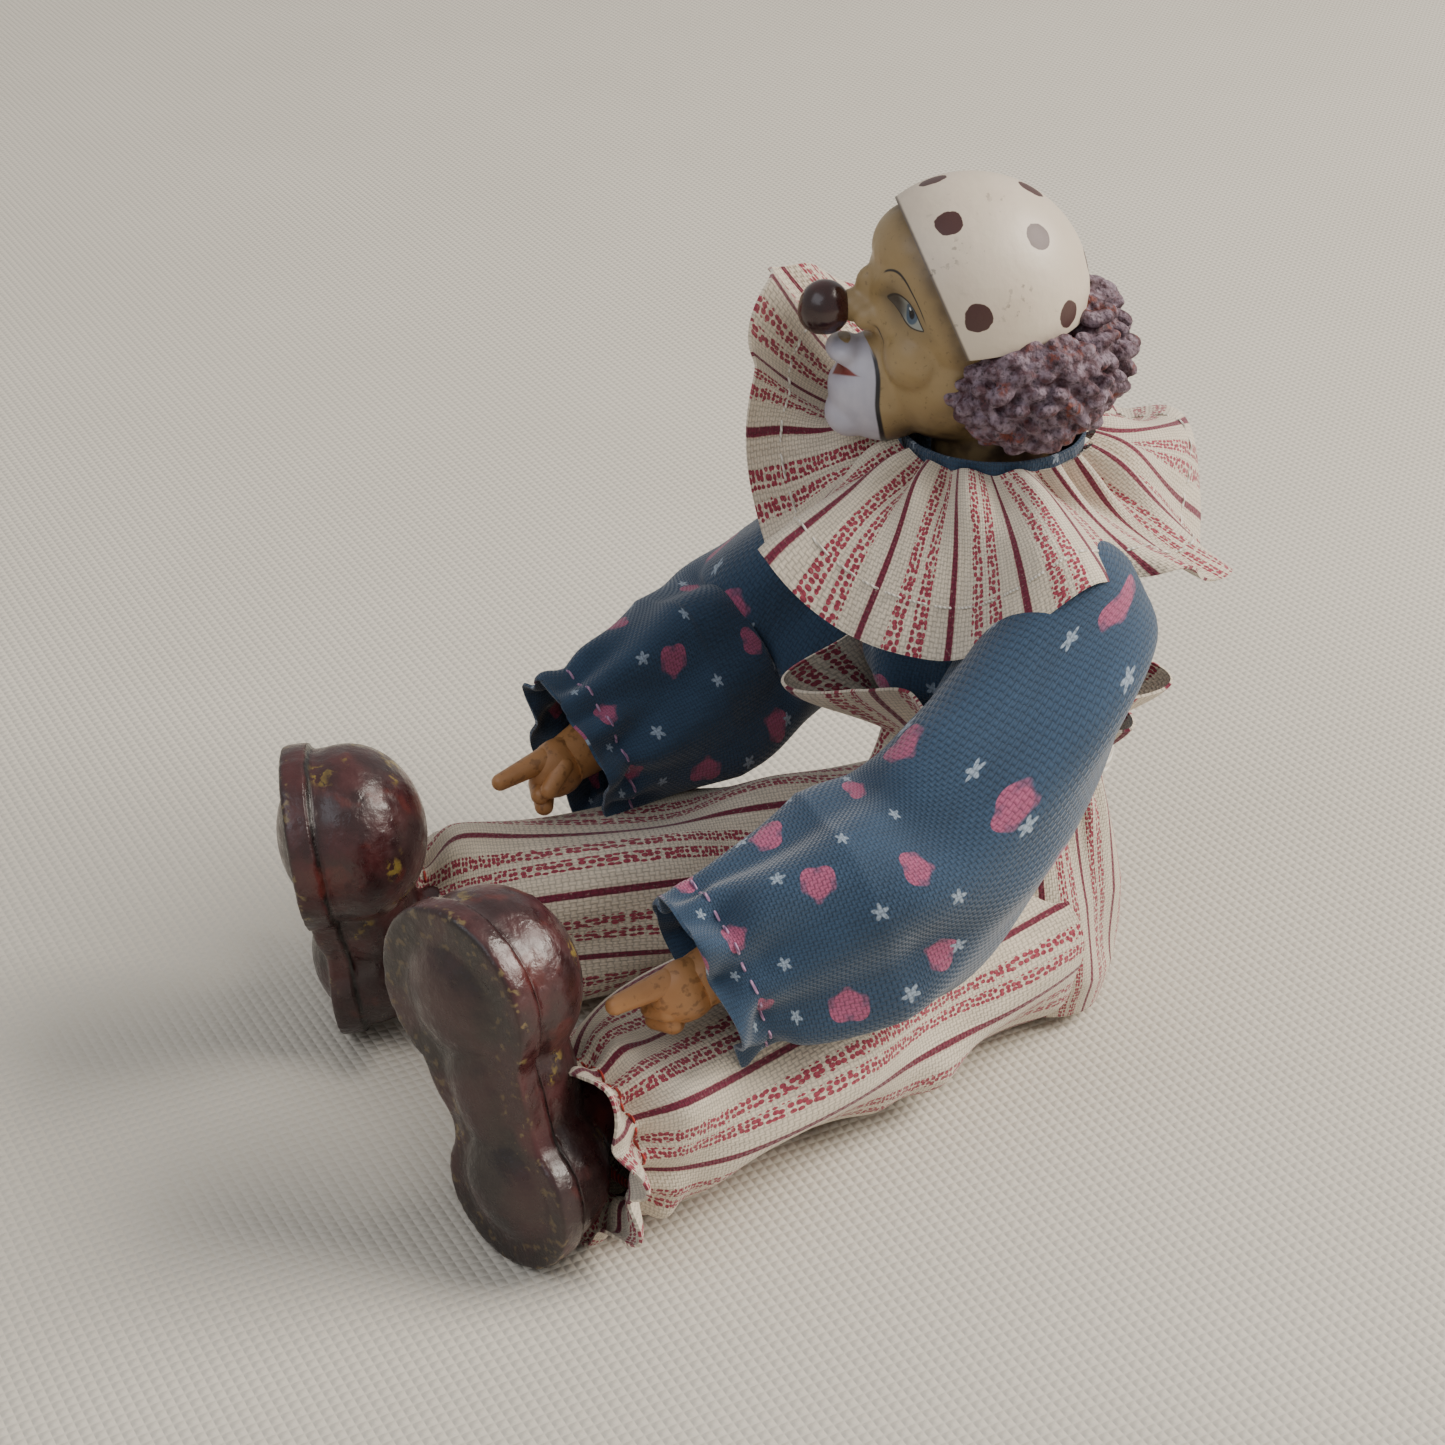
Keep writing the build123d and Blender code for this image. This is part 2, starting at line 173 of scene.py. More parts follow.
def window(name, place, aim, size, power, colour):
    """Broad soft area light at a place, facing a point."""
    light = bpy.data.lights.new(name, "AREA")
    light.shape = "RECTANGLE"
    light.size, light.size_y = size
    light.energy = power
    light.color = srgb(colour)[:3]
    made = bpy.data.objects.new(name, light)
    bpy.context.scene.collection.objects.link(made)
    made.location = place
    made.rotation_euler = (Vector(aim) - Vector(place)).to_track_quat("-Z", "Y").to_euler()


window("window_light", (0.35, 0.75, 0.75), (0, -0.02, 0.05), (0.7, 0.6), 19.0, "fff6ea")
window("room_fill", (0.2, -0.9, 0.9), (0, -0.02, 0.05), (1.0, 0.8), 3.5, "eef3ff")

EYE = Vector((0.2484, -0.1660, 0.2000))
LOOK = Vector((-0.7721, 0.4036, -0.4909))
LENS_MM = 74.0
ROLL = math.radians(-0.25)
camera_data = bpy.data.cameras.new("camera")
camera_data.lens = LENS_MM
camera_data.sensor_width = 36.0
camera_data.clip_start = 0.01
camera = bpy.data.objects.new("camera", camera_data)
bpy.context.scene.collection.objects.link(camera)
camera.location = EYE
turn = LOOK.to_track_quat("-Z", "Y").to_matrix() @ Matrix.Rotation(ROLL, 3, "Z")
camera.rotation_euler = turn.to_euler()
bpy.context.scene.camera = camera

# ---- trousers ----
# Ticking: cream plain-weave cotton printed with thin maroon stripes and speckled bands. Each leg is a
# strip rolled to a tube and gathered at the ankle by a red thread; the seat is one wider tube, gathered
# at the waist below a standing frill.

LIMB_ACROSS = 180
LIMB_ROWS = 110
THREAD_PITCH = 0.46
CLOTH_T = 0.35
STRIPE_REPEAT = 9.4


def make_weave():
    """Node group for plain weave: Cloth is a place on the flat cloth in mm."""
    group = bpy.data.node_groups.new("plain_weave", "ShaderNodeTree")
    face = group.interface
    face.new_socket("Cloth", in_out="INPUT", socket_type="NodeSocketVector")
    face.new_socket("Pitch", in_out="INPUT", socket_type="NodeSocketFloat")
    face.new_socket("Height", in_out="OUTPUT", socket_type="NodeSocketFloat")
    face.new_socket("Slub", in_out="OUTPUT", socket_type="NodeSocketFloat")
    start = group.nodes.new("NodeGroupInput")
    end = group.nodes.new("NodeGroupOutput")
    cloth, pitch = start.outputs["Cloth"], start.outputs["Pitch"]
    wander = blotch(group, cloth, 3.0)
    row = node(group, "ShaderNodeSeparateXYZ", Vector=cloth)
    x = calc(group, "ADD", calc(group, "DIVIDE", row.outputs[0], pitch), wander)
    y = calc(group, "ADD", calc(group, "DIVIDE", row.outputs[1], pitch), wander)
    warp = ridge(group, x)
    weft = ridge(group, y)
    cell = calc(group, "ADD", calc(group, "FLOOR", x), calc(group, "FLOOR", y))
    over = calc(group, "FLOORED_MODULO", cell, 2.0)
    top = calc(group, "MULTIPLY", over, warp)
    under = calc(group, "MULTIPLY", calc(group, "SUBTRACT", 1.0, over), weft)
    group.links.new(calc(group, "ADD", top, under), end.inputs["Height"])
    long = node(group, "ShaderNodeVectorMath", {"operation": "MULTIPLY"}, i0=cloth, i1=(1.0, 0.12, 1.0))
    group.links.new(blotch(group, long.outputs[0], 0.5), end.inputs["Slub"])
    return group


PLAIN_WEAVE = make_weave()


def on_cloth(tree):
    """Place on the flat cloth, in mm, from the piece's own UV map."""
    flat = node(tree, "ShaderNodeUVMap", {"uv_map": "cloth"}).outputs[0]
    return node(tree, "ShaderNodeVectorMath", {"operation": "SCALE"}, Vector=flat, Scale=1 / MM).outputs[0]


def woven(tree, shader, cloth, print_colour, depth=0.45):
    """Finishes a cotton: the weave is painted darker between threads as shade, and stands up in the bump."""
    weave = node(tree, "ShaderNodeGroup", {"node_tree": PLAIN_WEAVE}, Cloth=cloth, Pitch=THREAD_PITCH)
    height, slub = weave.outputs["Height"], weave.outputs["Slub"]
    # painted shade between the threads, then a random tone along thick slubs of thread
    shade = calc(tree, "MULTIPLY_ADD", height, depth, 1.0 - depth)
    shade = calc(tree, "MULTIPLY", shade, ramp(tree, slub, 0.2, 0.8, 0.86, 1.1))
    weave_shade_and_slub = node(tree, "ShaderNodeCombineColor", Red=shade, Green=shade, Blue=shade).outputs[0]
    tree.links.new(mix(tree, 1.0, print_colour, weave_shade_and_slub, "MULTIPLY"), shader.inputs["Base Color"])
    bump(tree, shader, calc(tree, "ADD", height, slub), 0.55, 0.00012)


def make_ticking():
    """Cream cotton; across the cloth a thin stripe, then a band of two speckled stripes."""
    made, tree, shader = new_material("ticking_cotton", 0.9, Sheen_Weight=0.25, Sheen_Roughness=0.5)
    cloth = on_cloth(tree)
    across = node(tree, "ShaderNodeSeparateXYZ", Vector=cloth).outputs[0]
    edge = calc(tree, "MULTIPLY_ADD", blotch(tree, cloth, 0.5), 0.14, -0.07)
    across = calc(tree, "ADD", across, edge)
    part = calc(tree, "FLOORED_MODULO", across, STRIPE_REPEAT)
    thin = calc(tree, "ABSOLUTE", calc(tree, "SUBTRACT", part, 1.6))
    thin = ramp(tree, thin, 0.34, 0.50, 1.0, 0.0)
    centre = calc(tree, "ABSOLUTE", calc(tree, "SUBTRACT", part, 1.6 + STRIPE_REPEAT / 2))
    band = calc(tree, "ABSOLUTE", calc(tree, "SUBTRACT", centre, 1.15))
    dense = ramp(tree, band, 0.66, 0.9, 0.44, 0.0)
    dots = node(
        tree, "ShaderNodeTexVoronoi", {"voronoi_dimensions": "2D"},
        Vector=cloth, Scale=1 / 0.62, Randomness=0.55,
    ).outputs["Distance"]
    speck = calc(tree, "LESS_THAN", dots, dense)
    wear = ramp(tree, blotch(tree, cloth, 0.35), 0.15, 0.45, 0.55, 1.0)
    ink = calc(tree, "MULTIPLY", calc(tree, "MAXIMUM", thin, speck), wear)
    cream = mix(tree, blotch(tree, cloth, 9.0), srgb("e6dccb"), srgb("d9cbb6"))
    tone = mix(tree, thin, srgb("a23c50"), srgb("74203a"))
    woven(tree, shader, cloth, mix(tree, ink, cream, tone))
    return made


TICKING = make_ticking()


def modify(piece, kind, **settings):
    """Adds one modifier to the active piece and applies it."""
    made = piece.modifiers.new(kind.lower(), kind)
    for key, value in settings.items():
        setattr(made, key, value)
    bpy.ops.object.modifier_apply(modifier=made.name)


def flat_cloth(name, width, length, across, rows, place, material, part=(0.0, 1.0)):
    """A flat rectangle of cloth in mm, laid where place(u, v) says and given its thickness.
    u runs 0 to 1 round the width and v along the length, of which part may be cut off; the seam is
    closed, and the UV map keeps the flat cloth's size."""
    bpy.ops.object.select_all(action="DESELECT")
    bpy.ops.mesh.primitive_grid_add(
        x_subdivisions=across, y_subdivisions=rows, size=1.0, calc_uvs=True,
    )
    piece = bpy.context.active_object
    piece.name = name
    mesh = piece.data
    flat = np.empty(3 * len(mesh.vertices))
    mesh.vertices.foreach_get("co", flat)
    flat = flat.reshape(-1, 3) + 0.5
    spots = place(flat[:, 0], part[0] + (part[1] - part[0]) * flat[:, 1])
    mesh.vertices.foreach_set("co", (spots * MM).ravel())
    layer = mesh.uv_layers.active
    layer.name = "cloth"
    uv = np.empty(2 * len(mesh.loops))
    layer.data.foreach_get("uv", uv)
    uv = uv.reshape(-1, 2) * (1, part[1] - part[0]) + (0, part[0])
    uv *= (width * MM, length * MM)
    layer.data.foreach_set("uv", uv.ravel())
    mesh.update()
    bpy.ops.object.mode_set(mode="EDIT")
    bpy.ops.mesh.select_all(action="SELECT")
    bpy.ops.mesh.remove_doubles(threshold=0.00001)
    bpy.ops.mesh.normals_make_consistent(inside=False)
    bpy.ops.object.mode_set(mode="OBJECT")
    modify(piece, "SOLIDIFY", thickness=CLOTH_T * MM, offset=0.0)
    bpy.ops.object.shade_smooth_by_angle(angle=math.radians(60))
    mesh.materials.append(material)
    return piece


def along(points, t):
    """Smooth line through points, at t from 0 to 1; t is an array."""
    points = np.array([list(p) for p in points], float)
    spans = len(points) - 1
    s = np.clip(t, 0, 1) * spans
    i = np.clip(s.astype(int), 0, spans - 1)
    f = (s - i)[:, None]
    p0 = points[np.clip(i - 1, 0, spans)]
    p1 = points[i]
    p2 = points[i + 1]
    p3 = points[np.clip(i + 2, 0, spans)]
    out = p1 * 2 + (p2 - p0) * f + (2 * p0 - 5 * p1 + 4 * p2 - p3) * f ** 2
    return 0.5 * (out + (3 * p1 - p0 - 3 * p2 + p3) * f ** 3)


def tube(path, half_width, half_height, u, v):
    """Rings along a path: where the cloth at (u, v) lies. Half sizes are arrays."""
    centre = along(path, v)
    step = 0.004
    way = along(path, np.clip(v + step, 0, 1)) - along(path, np.clip(v - step, 0, 1))
    way /= np.linalg.norm(way, axis=1)[:, None]
    side = np.cross(way, (0.0, 0.0, 1.0))
    side /= np.linalg.norm(side, axis=1)[:, None]
    rise = np.cross(side, way)
    turn = 2 * np.pi * u
    across, above = half_width * np.cos(turn), half_height * np.sin(turn)
    return centre + side * across[:, None] + rise * above[:, None]


def stitches(name, place, line, count, body, material, part=0.7, radius=0.13):
    """Running stitches: short raised threads on a cloth, along line(t), which gives u and v."""
    curve = bpy.data.curves.new(name, "CURVE")
    curve.dimensions = "3D"
    curve.bevel_depth = radius * MM
    curve.bevel_resolution = 2
    curve.use_fill_caps = True
    step = 0.003
    for k in range(count):
        u, v = line((k + np.linspace(0, part, 5)) / count)
        spots = place(u, v)
        du = place(u + step, v) - place(u - step, v)
        dv = place(u, v + step) - place(u, v - step)
        out = np.cross(dv, du)
        out /= np.linalg.norm(out, axis=1)[:, None]
        rise = CLOTH_T / 2 + radius * np.array([-0.6, 0.7, 1.0, 0.7, -0.6])
        spots = (spots + out * rise[:, None]) * MM
        spline = curve.splines.new("POLY")
        spline.points.add(4)
        spline.points.foreach_set("co", np.hstack([spots, np.ones((5, 1))]).ravel())
    row = bpy.data.objects.new(name, curve)
    bpy.context.scene.collection.objects.link(row)
    bpy.ops.object.select_all(action="DESELECT")
    row.select_set(True)
    bpy.context.view_layer.objects.active = row
    bpy.ops.object.convert(target="MESH")
    row = bpy.context.active_object
    row.name = name
    row.data.materials.append(material)
    bpy.ops.object.shade_smooth()
    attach(row, body)


def bell(x, centre, width):
    return np.exp(-((x - centre) / width) ** 2)


def step_up(x, low, high):
    t = np.clip((x - low) / (high - low), 0, 1)
    return t * t * (3 - 2 * t)


def rest_on_table(spots, lift=0.25):
    """Cloth that would go through the table lies on it instead."""
    spots[:, 2] = np.maximum(spots[:, 2], lift)
    return spots


def world_mm(tree):
    place = node(tree, "ShaderNodeTexCoord").outputs["Object"]
    return node(tree, "ShaderNodeVectorMath", {"operation": "SCALE"}, Vector=place, Scale=1 / MM).outputs[0]


def make_thread(name, light, dark, rough=0.75):
    """Twisted thread: slanting plies show as bands of painted light and shade, and as ridges in the bump."""
    made, tree, shader = new_material(name, rough, Sheen_Weight=0.3)
    spot = world_mm(tree)
    axis = node(tree, "ShaderNodeSeparateXYZ", Vector=spot)
    slant = calc(tree, "ADD", calc(tree, "ADD", axis.outputs[0], axis.outputs[1]), axis.outputs[2])
    # painted light on each ply's crown and painted shade in the grooves between plies
    ply = calc(tree, "SINE", calc(tree, "MULTIPLY", slant, 9.0))
    tree.links.new(mix(tree, ramp(tree, ply, -1.0, 1.0), srgb(dark), srgb(light)), shader.inputs["Base Color"])
    bump(tree, shader, ply, 0.5, 0.0001)
    return made


RED_THREAD = make_thread("red_thread", "c0392c", "7e201a")
LEG_ROUND = 8 * STRIPE_REPEAT
LEG_LONG = 66.0
LEG_CUT = 0.36
ANKLE_V = 0.885


def leg_place(side):
    word = "left" if side > 0 else "right"
    hip, knee, ankle = (JOINT[f"{word}_{joint}"] for joint in ("hip_swing", "knee_bend", "boot_twist"))
    forward = (ankle - knee).normalized()
    path = [
        hip + Vector((-side * 2.0, 11.0, 0.5)), hip + (knee - hip) * 0.12, hip + (knee - hip) * 0.6,
        knee, ankle - forward * 9.0, ankle - forward * 1.0, ankle + forward * 5.0,
    ]
    phase = 0.0 if side > 0 else 2.1

    def place(u, v):
        turn = 2 * np.pi * u
        gather = bell(v, ANKLE_V, 0.055)
        frill = step_up(v, ANKLE_V, 1.0)
        wide = 11.4 + 0.9 * np.sin(5.2 * v + phase) - 3.6 * gather + 0.6 * frill
        tall = 10.6 - 2.6 * gather - 0.2 * frill
        pleat = np.sin(15 * turn + 2.0 * np.sin(turn + phase)) * (0.55 * bell(v, ANKLE_V, 0.09))
        flare = np.sin(7 * turn + phase + 1.3 * np.sin(2 * turn)) * 1.7 * frill
        fold = 0.9 * np.sin(3 * turn + 9 * v + phase) * step_up(v, 0.05, 0.3) * (1 - gather)
        fold += 0.55 * np.sin(5 * turn - 14 * v + 2 * phase) * (1 - gather)
        low = np.clip(-np.sin(turn), 0, 1)
        lobes = low ** 2 * (1.8 * np.sin(30 * v + phase) + 1.0 * np.sin(47 * v + 1)) * (1 - gather)
        spots = tube(path, wide + pleat + flare + fold + lobes, tall + pleat + flare + fold, u, v)
        return rest_on_table(spots)

    return place


def limb_cloth(names, size, rows, cut, place, material):
    """A limb's tube of cloth in two pieces that meet between its joints."""
    width, length = size
    for index, (name, node_name) in enumerate(names):
        part = (0.0, cut) if index == 0 else (cut, 1.0)
        count = round(rows * (part[1] - part[0]))
        piece = flat_cloth(name, width, length, LIMB_ACROSS, count, place, material, part)
        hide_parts(node_name)
        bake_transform(piece)


for side, word in SIDES:
    limb_cloth(
        [(f"{word}_leg_upper", f"{word}_trouser_thigh"), (f"{word}_leg_lower", f"{word}_trouser_shin")],
        (LEG_ROUND, LEG_LONG), LIMB_ROWS, LEG_CUT, leg_place(side), TICKING,
    )

for side, word in SIDES:
    stitches(f"{word}_ankle_stitches", leg_place(side), lambda t: (t, ANKLE_V + 0 * t), 34,
             f"{word}_shin", RED_THREAD, part=0.75, radius=0.16)

SEAT_ROUND = 14 * STRIPE_REPEAT
SEAT_LONG = 58.0
WAIST_V = 0.80


def seat_place(u, v):
    turn = 2 * np.pi * u
    height = np.interp(v, [0, 0.12, 0.22, 0.3, WAIST_V, 1.0], [0.3, 0.3, 2.0, 6.0, 33.0, 41.0])
    wide = np.interp(v, [0, 0.12, 0.22, 0.32, 0.5, WAIST_V, 1.0], [0, 12.5, 16.8, 18.2, 17.6, 13.6, 18.5])
    deep = np.interp(v, [0, 0.12, 0.22, 0.32, 0.5, WAIST_V, 1.0], [0, 6.5, 9.2, 10.4, 10.6, 9.6, 14.0])
    gather = bell(v, WAIST_V, 0.07)
    frill = step_up(v, WAIST_V, 1.0)
    pleat = 0.5 * np.sin(24 * turn + 2 * np.sin(3 * turn)) * bell(v, WAIST_V, 0.12)
    flare = frill * (2.2 * np.sin(7 * turn + 1.0) + 1.3 * np.sin(12 * turn + 2.0 * np.sin(turn)))
    front = frill * np.clip(-np.sin(turn), 0, 1) ** 2
    fold = 0.8 * np.sin(6 * turn + 7 * v) * step_up(v, 0.2, 0.4) * (1 - gather)
    spread = pleat + flare + fold * step_up(v, 0.25, 0.4)
    lap = bell(v, 0.5, 0.26) * np.clip(-np.sin(turn), 0, 1) ** 1.5 * (10.5 + 1.8 * np.sin(5 * turn + 9 * v))
    x = (wide + spread) * np.cos(turn)
    y = (deep + spread + 9.0 * front + lap) * np.sin(turn) + np.interp(v, [0.3, WAIST_V], [1.0, -0.3])
    z = height + frill * 1.8 * np.sin(5 * turn + 0.5) + 3.0 * front
    return np.stack([x, y, z], axis=1)


seat = flat_cloth("trouser_seat", SEAT_ROUND, SEAT_LONG, 300, 90, seat_place, TICKING)
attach(seat, "torso")
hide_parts("trousers_seat")

# ---- shirt ----
# Blue printed cotton with small pink hearts and white stars: a body, a stand-up neck edge and two full
# sleeves, each gathered near its edge by lilac elastic so that a frill falls over the hand.


def star_mask(tree, x, y, radius):
    turn = calc(tree, "ARCTAN2", y, x)
    far = far_from(tree, x, y)
    points = calc(tree, "MULTIPLY_ADD", calc(tree, "COSINE", calc(tree, "MULTIPLY", turn, 5.0)), 0.28, 0.72)
    rim = calc(tree, "MULTIPLY", points, radius)
    return ramp(tree, calc(tree, "SUBTRACT", far, rim), -0.1, 0.12, 1.0, 0.0)


def heart_mask(tree, x, y, radius):
    x = calc(tree, "DIVIDE", x, radius)
    y = calc(tree, "DIVIDE", y, radius)
    x2 = calc(tree, "MULTIPLY", x, x)
    y2 = calc(tree, "MULTIPLY", y, y)
    ball = calc(tree, "SUBTRACT", calc(tree, "ADD", x2, y2), 1.0)
    cube = calc(tree, "MULTIPLY", calc(tree, "MULTIPLY", ball, ball), ball)
    notch = calc(tree, "MULTIPLY", calc(tree, "MULTIPLY", x2, y2), y)
    return ramp(tree, calc(tree, "SUBTRACT", cube, notch), -0.12, 0.12, 1.0, 0.0)


def scattered(tree, cloth, cell, offset, shape, radius):
    """One printed figure in each cell of the cloth, shifted and turned at random."""
    moved = node(tree, "ShaderNodeVectorMath", {"operation": "ADD"}, i0=cloth, i1=(*offset, 0)).outputs[0]
    scaled = node(
        tree, "ShaderNodeVectorMath", {"operation": "DIVIDE"}, i0=moved, i1=(*cell, 1.0),
    ).outputs[0]
    whole = node(tree, "ShaderNodeVectorMath", {"operation": "FLOOR"}, i0=scaled).outputs[0]
    part = node(tree, "ShaderNodeVectorMath", {"operation": "FRACTION"}, i0=scaled).outputs[0]
    dice = node(tree, "ShaderNodeTexWhiteNoise", {"noise_dimensions": "2D"}, Vector=whole)
    chance = node(tree, "ShaderNodeSeparateXYZ", Vector=dice.outputs["Color"])
    spot = node(tree, "ShaderNodeSeparateXYZ", Vector=part)
    sides = []
    for axis in (0, 1):
        middle = calc(tree, "MULTIPLY_ADD", chance.outputs[axis], 0.36, 0.32)
        gap = calc(tree, "SUBTRACT", spot.outputs[axis], middle)
        sides.append(calc(tree, "MULTIPLY", gap, cell[axis]))
    turn = calc(tree, "MULTIPLY", chance.outputs[2], 6.283)
    c, s = calc(tree, "COSINE", turn), calc(tree, "SINE", turn)
    x = calc(tree, "SUBTRACT", calc(tree, "MULTIPLY", sides[0], c), calc(tree, "MULTIPLY", sides[1], s))
    y = calc(tree, "ADD", calc(tree, "MULTIPLY", sides[0], s), calc(tree, "MULTIPLY", sides[1], c))
    return shape(tree, x, y, radius)


def make_shirting():
    made, tree, shader = new_material("heart_print_cotton", 0.88, Sheen_Weight=0.3, Sheen_Roughness=0.45)
    cloth = on_cloth(tree)
    hearts = scattered(tree, cloth, (13.5, 12.0), (3.0, 2.0), heart_mask, 1.75)
    stars = scattered(tree, cloth, (10.5, 9.5), (1.0, 5.5), star_mask, 0.95)
    blue = mix(tree, blotch(tree, cloth, 8.0), srgb("34506e"), srgb("2a4159"))
    faded = ramp(tree, blotch(tree, cloth, 0.6), 0.1, 0.5, 0.6, 1.0)
    printed = mix(tree, calc(tree, "MULTIPLY", hearts, faded), blue, srgb("a9577a"))
    printed = mix(tree, calc(tree, "MULTIPLY", stars, faded), printed, srgb("97a8bb"))
    woven(tree, shader, cloth, printed, 0.5)
    return made


SHIRTING = make_shirting()
SHIRT_ROUND = 92.0
SHIRT_LONG = 46.0


def shirt_place(u, v):
    turn = 2 * np.pi * u
    height = np.interp(v, [0, 0.35, 0.6, 0.78, 0.9, 1.0], [31, 43, 53, 60, 64.5, 70.2])
    wide = np.interp(v, [0, 0.16, 0.35, 0.6, 0.78, 0.86, 1.0], [12.2, 12.6, 13.4, 12.8, 9.6, 9.0, 9.9])
    deep = np.interp(v, [0, 0.16, 0.35, 0.6, 0.78, 0.86, 1.0], [8.2, 8.6, 9.6, 9.4, 8.8, 9.0, 9.9])
    fold = 0.45 * np.sin(9 * turn + 6 * v) * (1 - step_up(v, 0.7, 0.9))
    fold += 0.35 * np.sin(16 * turn) * bell(v, 0.84, 0.1)
    x = (wide + fold) * np.cos(turn)
    blouse = bell(v, 0.34, 0.2) * np.clip(-np.sin(turn), 0, 1) * 5.5
    y = (deep + fold + blouse) * np.sin(turn) + np.interp(v, [0, 0.3, 0.6], [-0.2, -1.5, -3.0])
    return np.stack([x, y, height], axis=1)


shirt = flat_cloth("shirt", SHIRT_ROUND, SHIRT_LONG, 180, 70, shirt_place, SHIRTING)
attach(shirt, "torso")
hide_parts("shirt_body", "neck_band")

SLEEVE_ROUND = 82.0
SLEEVE_LONG = 74.0
SLEEVE_CUT = 0.33
CUFF_V = 0.86


def sleeve_place(side):
    word = "left" if side > 0 else "right"
    shoulder = JOINT[f"{word}_shoulder_swing"]
    elbow = JOINT[f"{word}_elbow_bend"]
    wrist = JOINT[f"{word}_hand_twist"]
    forward = (wrist - elbow).normalized()
    path = [
        shoulder + Vector((-side * 7.0, 0.5, 1.0)), shoulder + Vector((-side * 0.5, 0.5, 0.5)),
        elbow + Vector((-side * 0.8, -1.5, -0.5)), (elbow + wrist) / 2 + Vector((side * 0.5, 0, -1.5)),
        wrist - forward * 1.0, wrist + forward * 5.0,
    ]
    phase = 0.6 if side > 0 else 2.9

    def place(u, v):
        turn = 2 * np.pi * u
        gather = bell(v, CUFF_V, 0.05)
        frill = step_up(v, CUFF_V, 1.0)
        full = np.interp(v, [0, 0.16, 0.35, 0.62, CUFF_V, 1.0], [6.5, 8.0, 10.6, 12.0, 9.0, 10.0])
        wide = full * np.interp(v, [0, 0.3, 0.5, 1.0], [1.0, 1.0, 0.92, 0.72])
        tall = full * np.interp(v, [0, 0.3, 1.0], [1.0, 1.06, 1.08])
        pleat = 0.7 * np.sin(11 * turn + 1.5 * np.sin(turn + phase)) * bell(v, CUFF_V + 0.03, 0.12)
        flare = 0.8 * np.sin(6 * turn + phase) * frill
        fold = 0.8 * np.sin(4 * turn + 6 * v + phase) * step_up(v, 0.1, 0.3) * (1 - gather)
        fold += 0.55 * np.sin(7 * turn - 9 * v) * step_up(v, 0.3, 0.6) * (1 - gather)
        fold += 0.45 * np.sin(3 * turn + 24 * v + 1.5 * np.sin(2 * turn)) * bell(v, 0.35, 0.25)
        spread = pleat + flare + fold
        return tube(path, wide + spread, tall + spread, u, v)

    return place


for side, word in SIDES:
    limb_cloth(
        [(f"{word}_arm_upper", f"{word}_sleeve_upper"), (f"{word}_arm_lower", f"{word}_sleeve_lower")],
        (SLEEVE_ROUND, SLEEVE_LONG), LIMB_ROWS, SLEEVE_CUT, sleeve_place(side), SHIRTING,
    )

LILAC_ELASTIC = make_thread("lilac_elastic", "b98fb4", "7d5a7c")
for side, word in SIDES:
    stitches(f"{word}_cuff_stitches", sleeve_place(side), lambda t: (t, CUFF_V + 0 * t), 26,
             f"{word}_forearm", LILAC_ELASTIC, part=0.55, radius=0.15)

# ---- ruff ----
# One strip of the same ticking, hemmed with white running stitches and gathered tight round the neck.
# It droops over the left shoulder and stands up on the right.

RUFF_ROUND = 20 * STRIPE_REPEAT
RUFF_WIDE = 22.0
RUFF_HEM = [
    (0, -30.0, 59.0), (5, -27.5, 55.5), (11, -23.0, 53.0), (17, -18.5, 54.0), (20.5, -12.5, 56.0),
    (21.5, -5.0, 59.5), (19, 0.5, 58.5), (16.0, 5.0, 57.0), (17.0, 11.5, 56.5), (15.0, 19.0, 53.5),
    (7.0, 24.0, 52.0), (-1, 26.0, 56.0), (-12, 25.0, 63.0), (-19, 18.0, 67.5), (-25, 8.0, 73.0),
    (-27, -4.0, 78.5), (-23.5, -13.0, 83.0), (-17.0, -20.5, 86.0), (-12.0, -26.0, 84.0),
    (-11.5, -27.0, 74.0), (-11.0, -27.0, 63.0), (-6.0, -29.0, 60.0),
]
RUFF_FOLD = [
    (0, -20.5, 66.5), (9, -17.5, 66.0), (16, -11.0, 65.5), (17, -4.0, 66.5), (11, 3.0, 61.0),
    (13.0, 11.0, 65.0), (4, 17.5, 65.0), (-9, 16.5, 66.0), (-18.5, 7.0, 66.5), (-21.5, -4.0, 67.5),
    (-17.0, -14.5, 67.0), (-9, -19.5, 66.0),
]
RUFF_NECK_R = 10.5
RUFF_NECK_Z = 69.2
NECK_X, NECK_Y = JOINT["head_turn"].x, JOINT["head_turn"].y


def ring_through(points, u):
    """Closed smooth ring through points, at u from 0 to 1, evenly by length."""
    points = np.array(points, float)
    count = len(points)
    fine = np.linspace(0, count, 40 * count, endpoint=False)
    i = fine.astype(int)
    f = (fine - i)[:, None]
    p0, p1, p2, p3 = (points[(i + k) % count] for k in (-1, 0, 1, 2))
    line = 0.5 * (2 * p1 + (p2 - p0) * f + (2 * p0 - 5 * p1 + 4 * p2 - p3) * f ** 2
                  + (3 * p1 - p0 - 3 * p2 + p3) * f ** 3)
    line = np.vstack([line, line[:1]])
    length = np.concatenate([[0], np.cumsum(np.linalg.norm(np.diff(line, axis=0), axis=1))])
    where = np.mod(u, 1.0) * length[-1]
    return np.stack([np.interp(where, length, line[:, k]) for k in range(3)], axis=1)


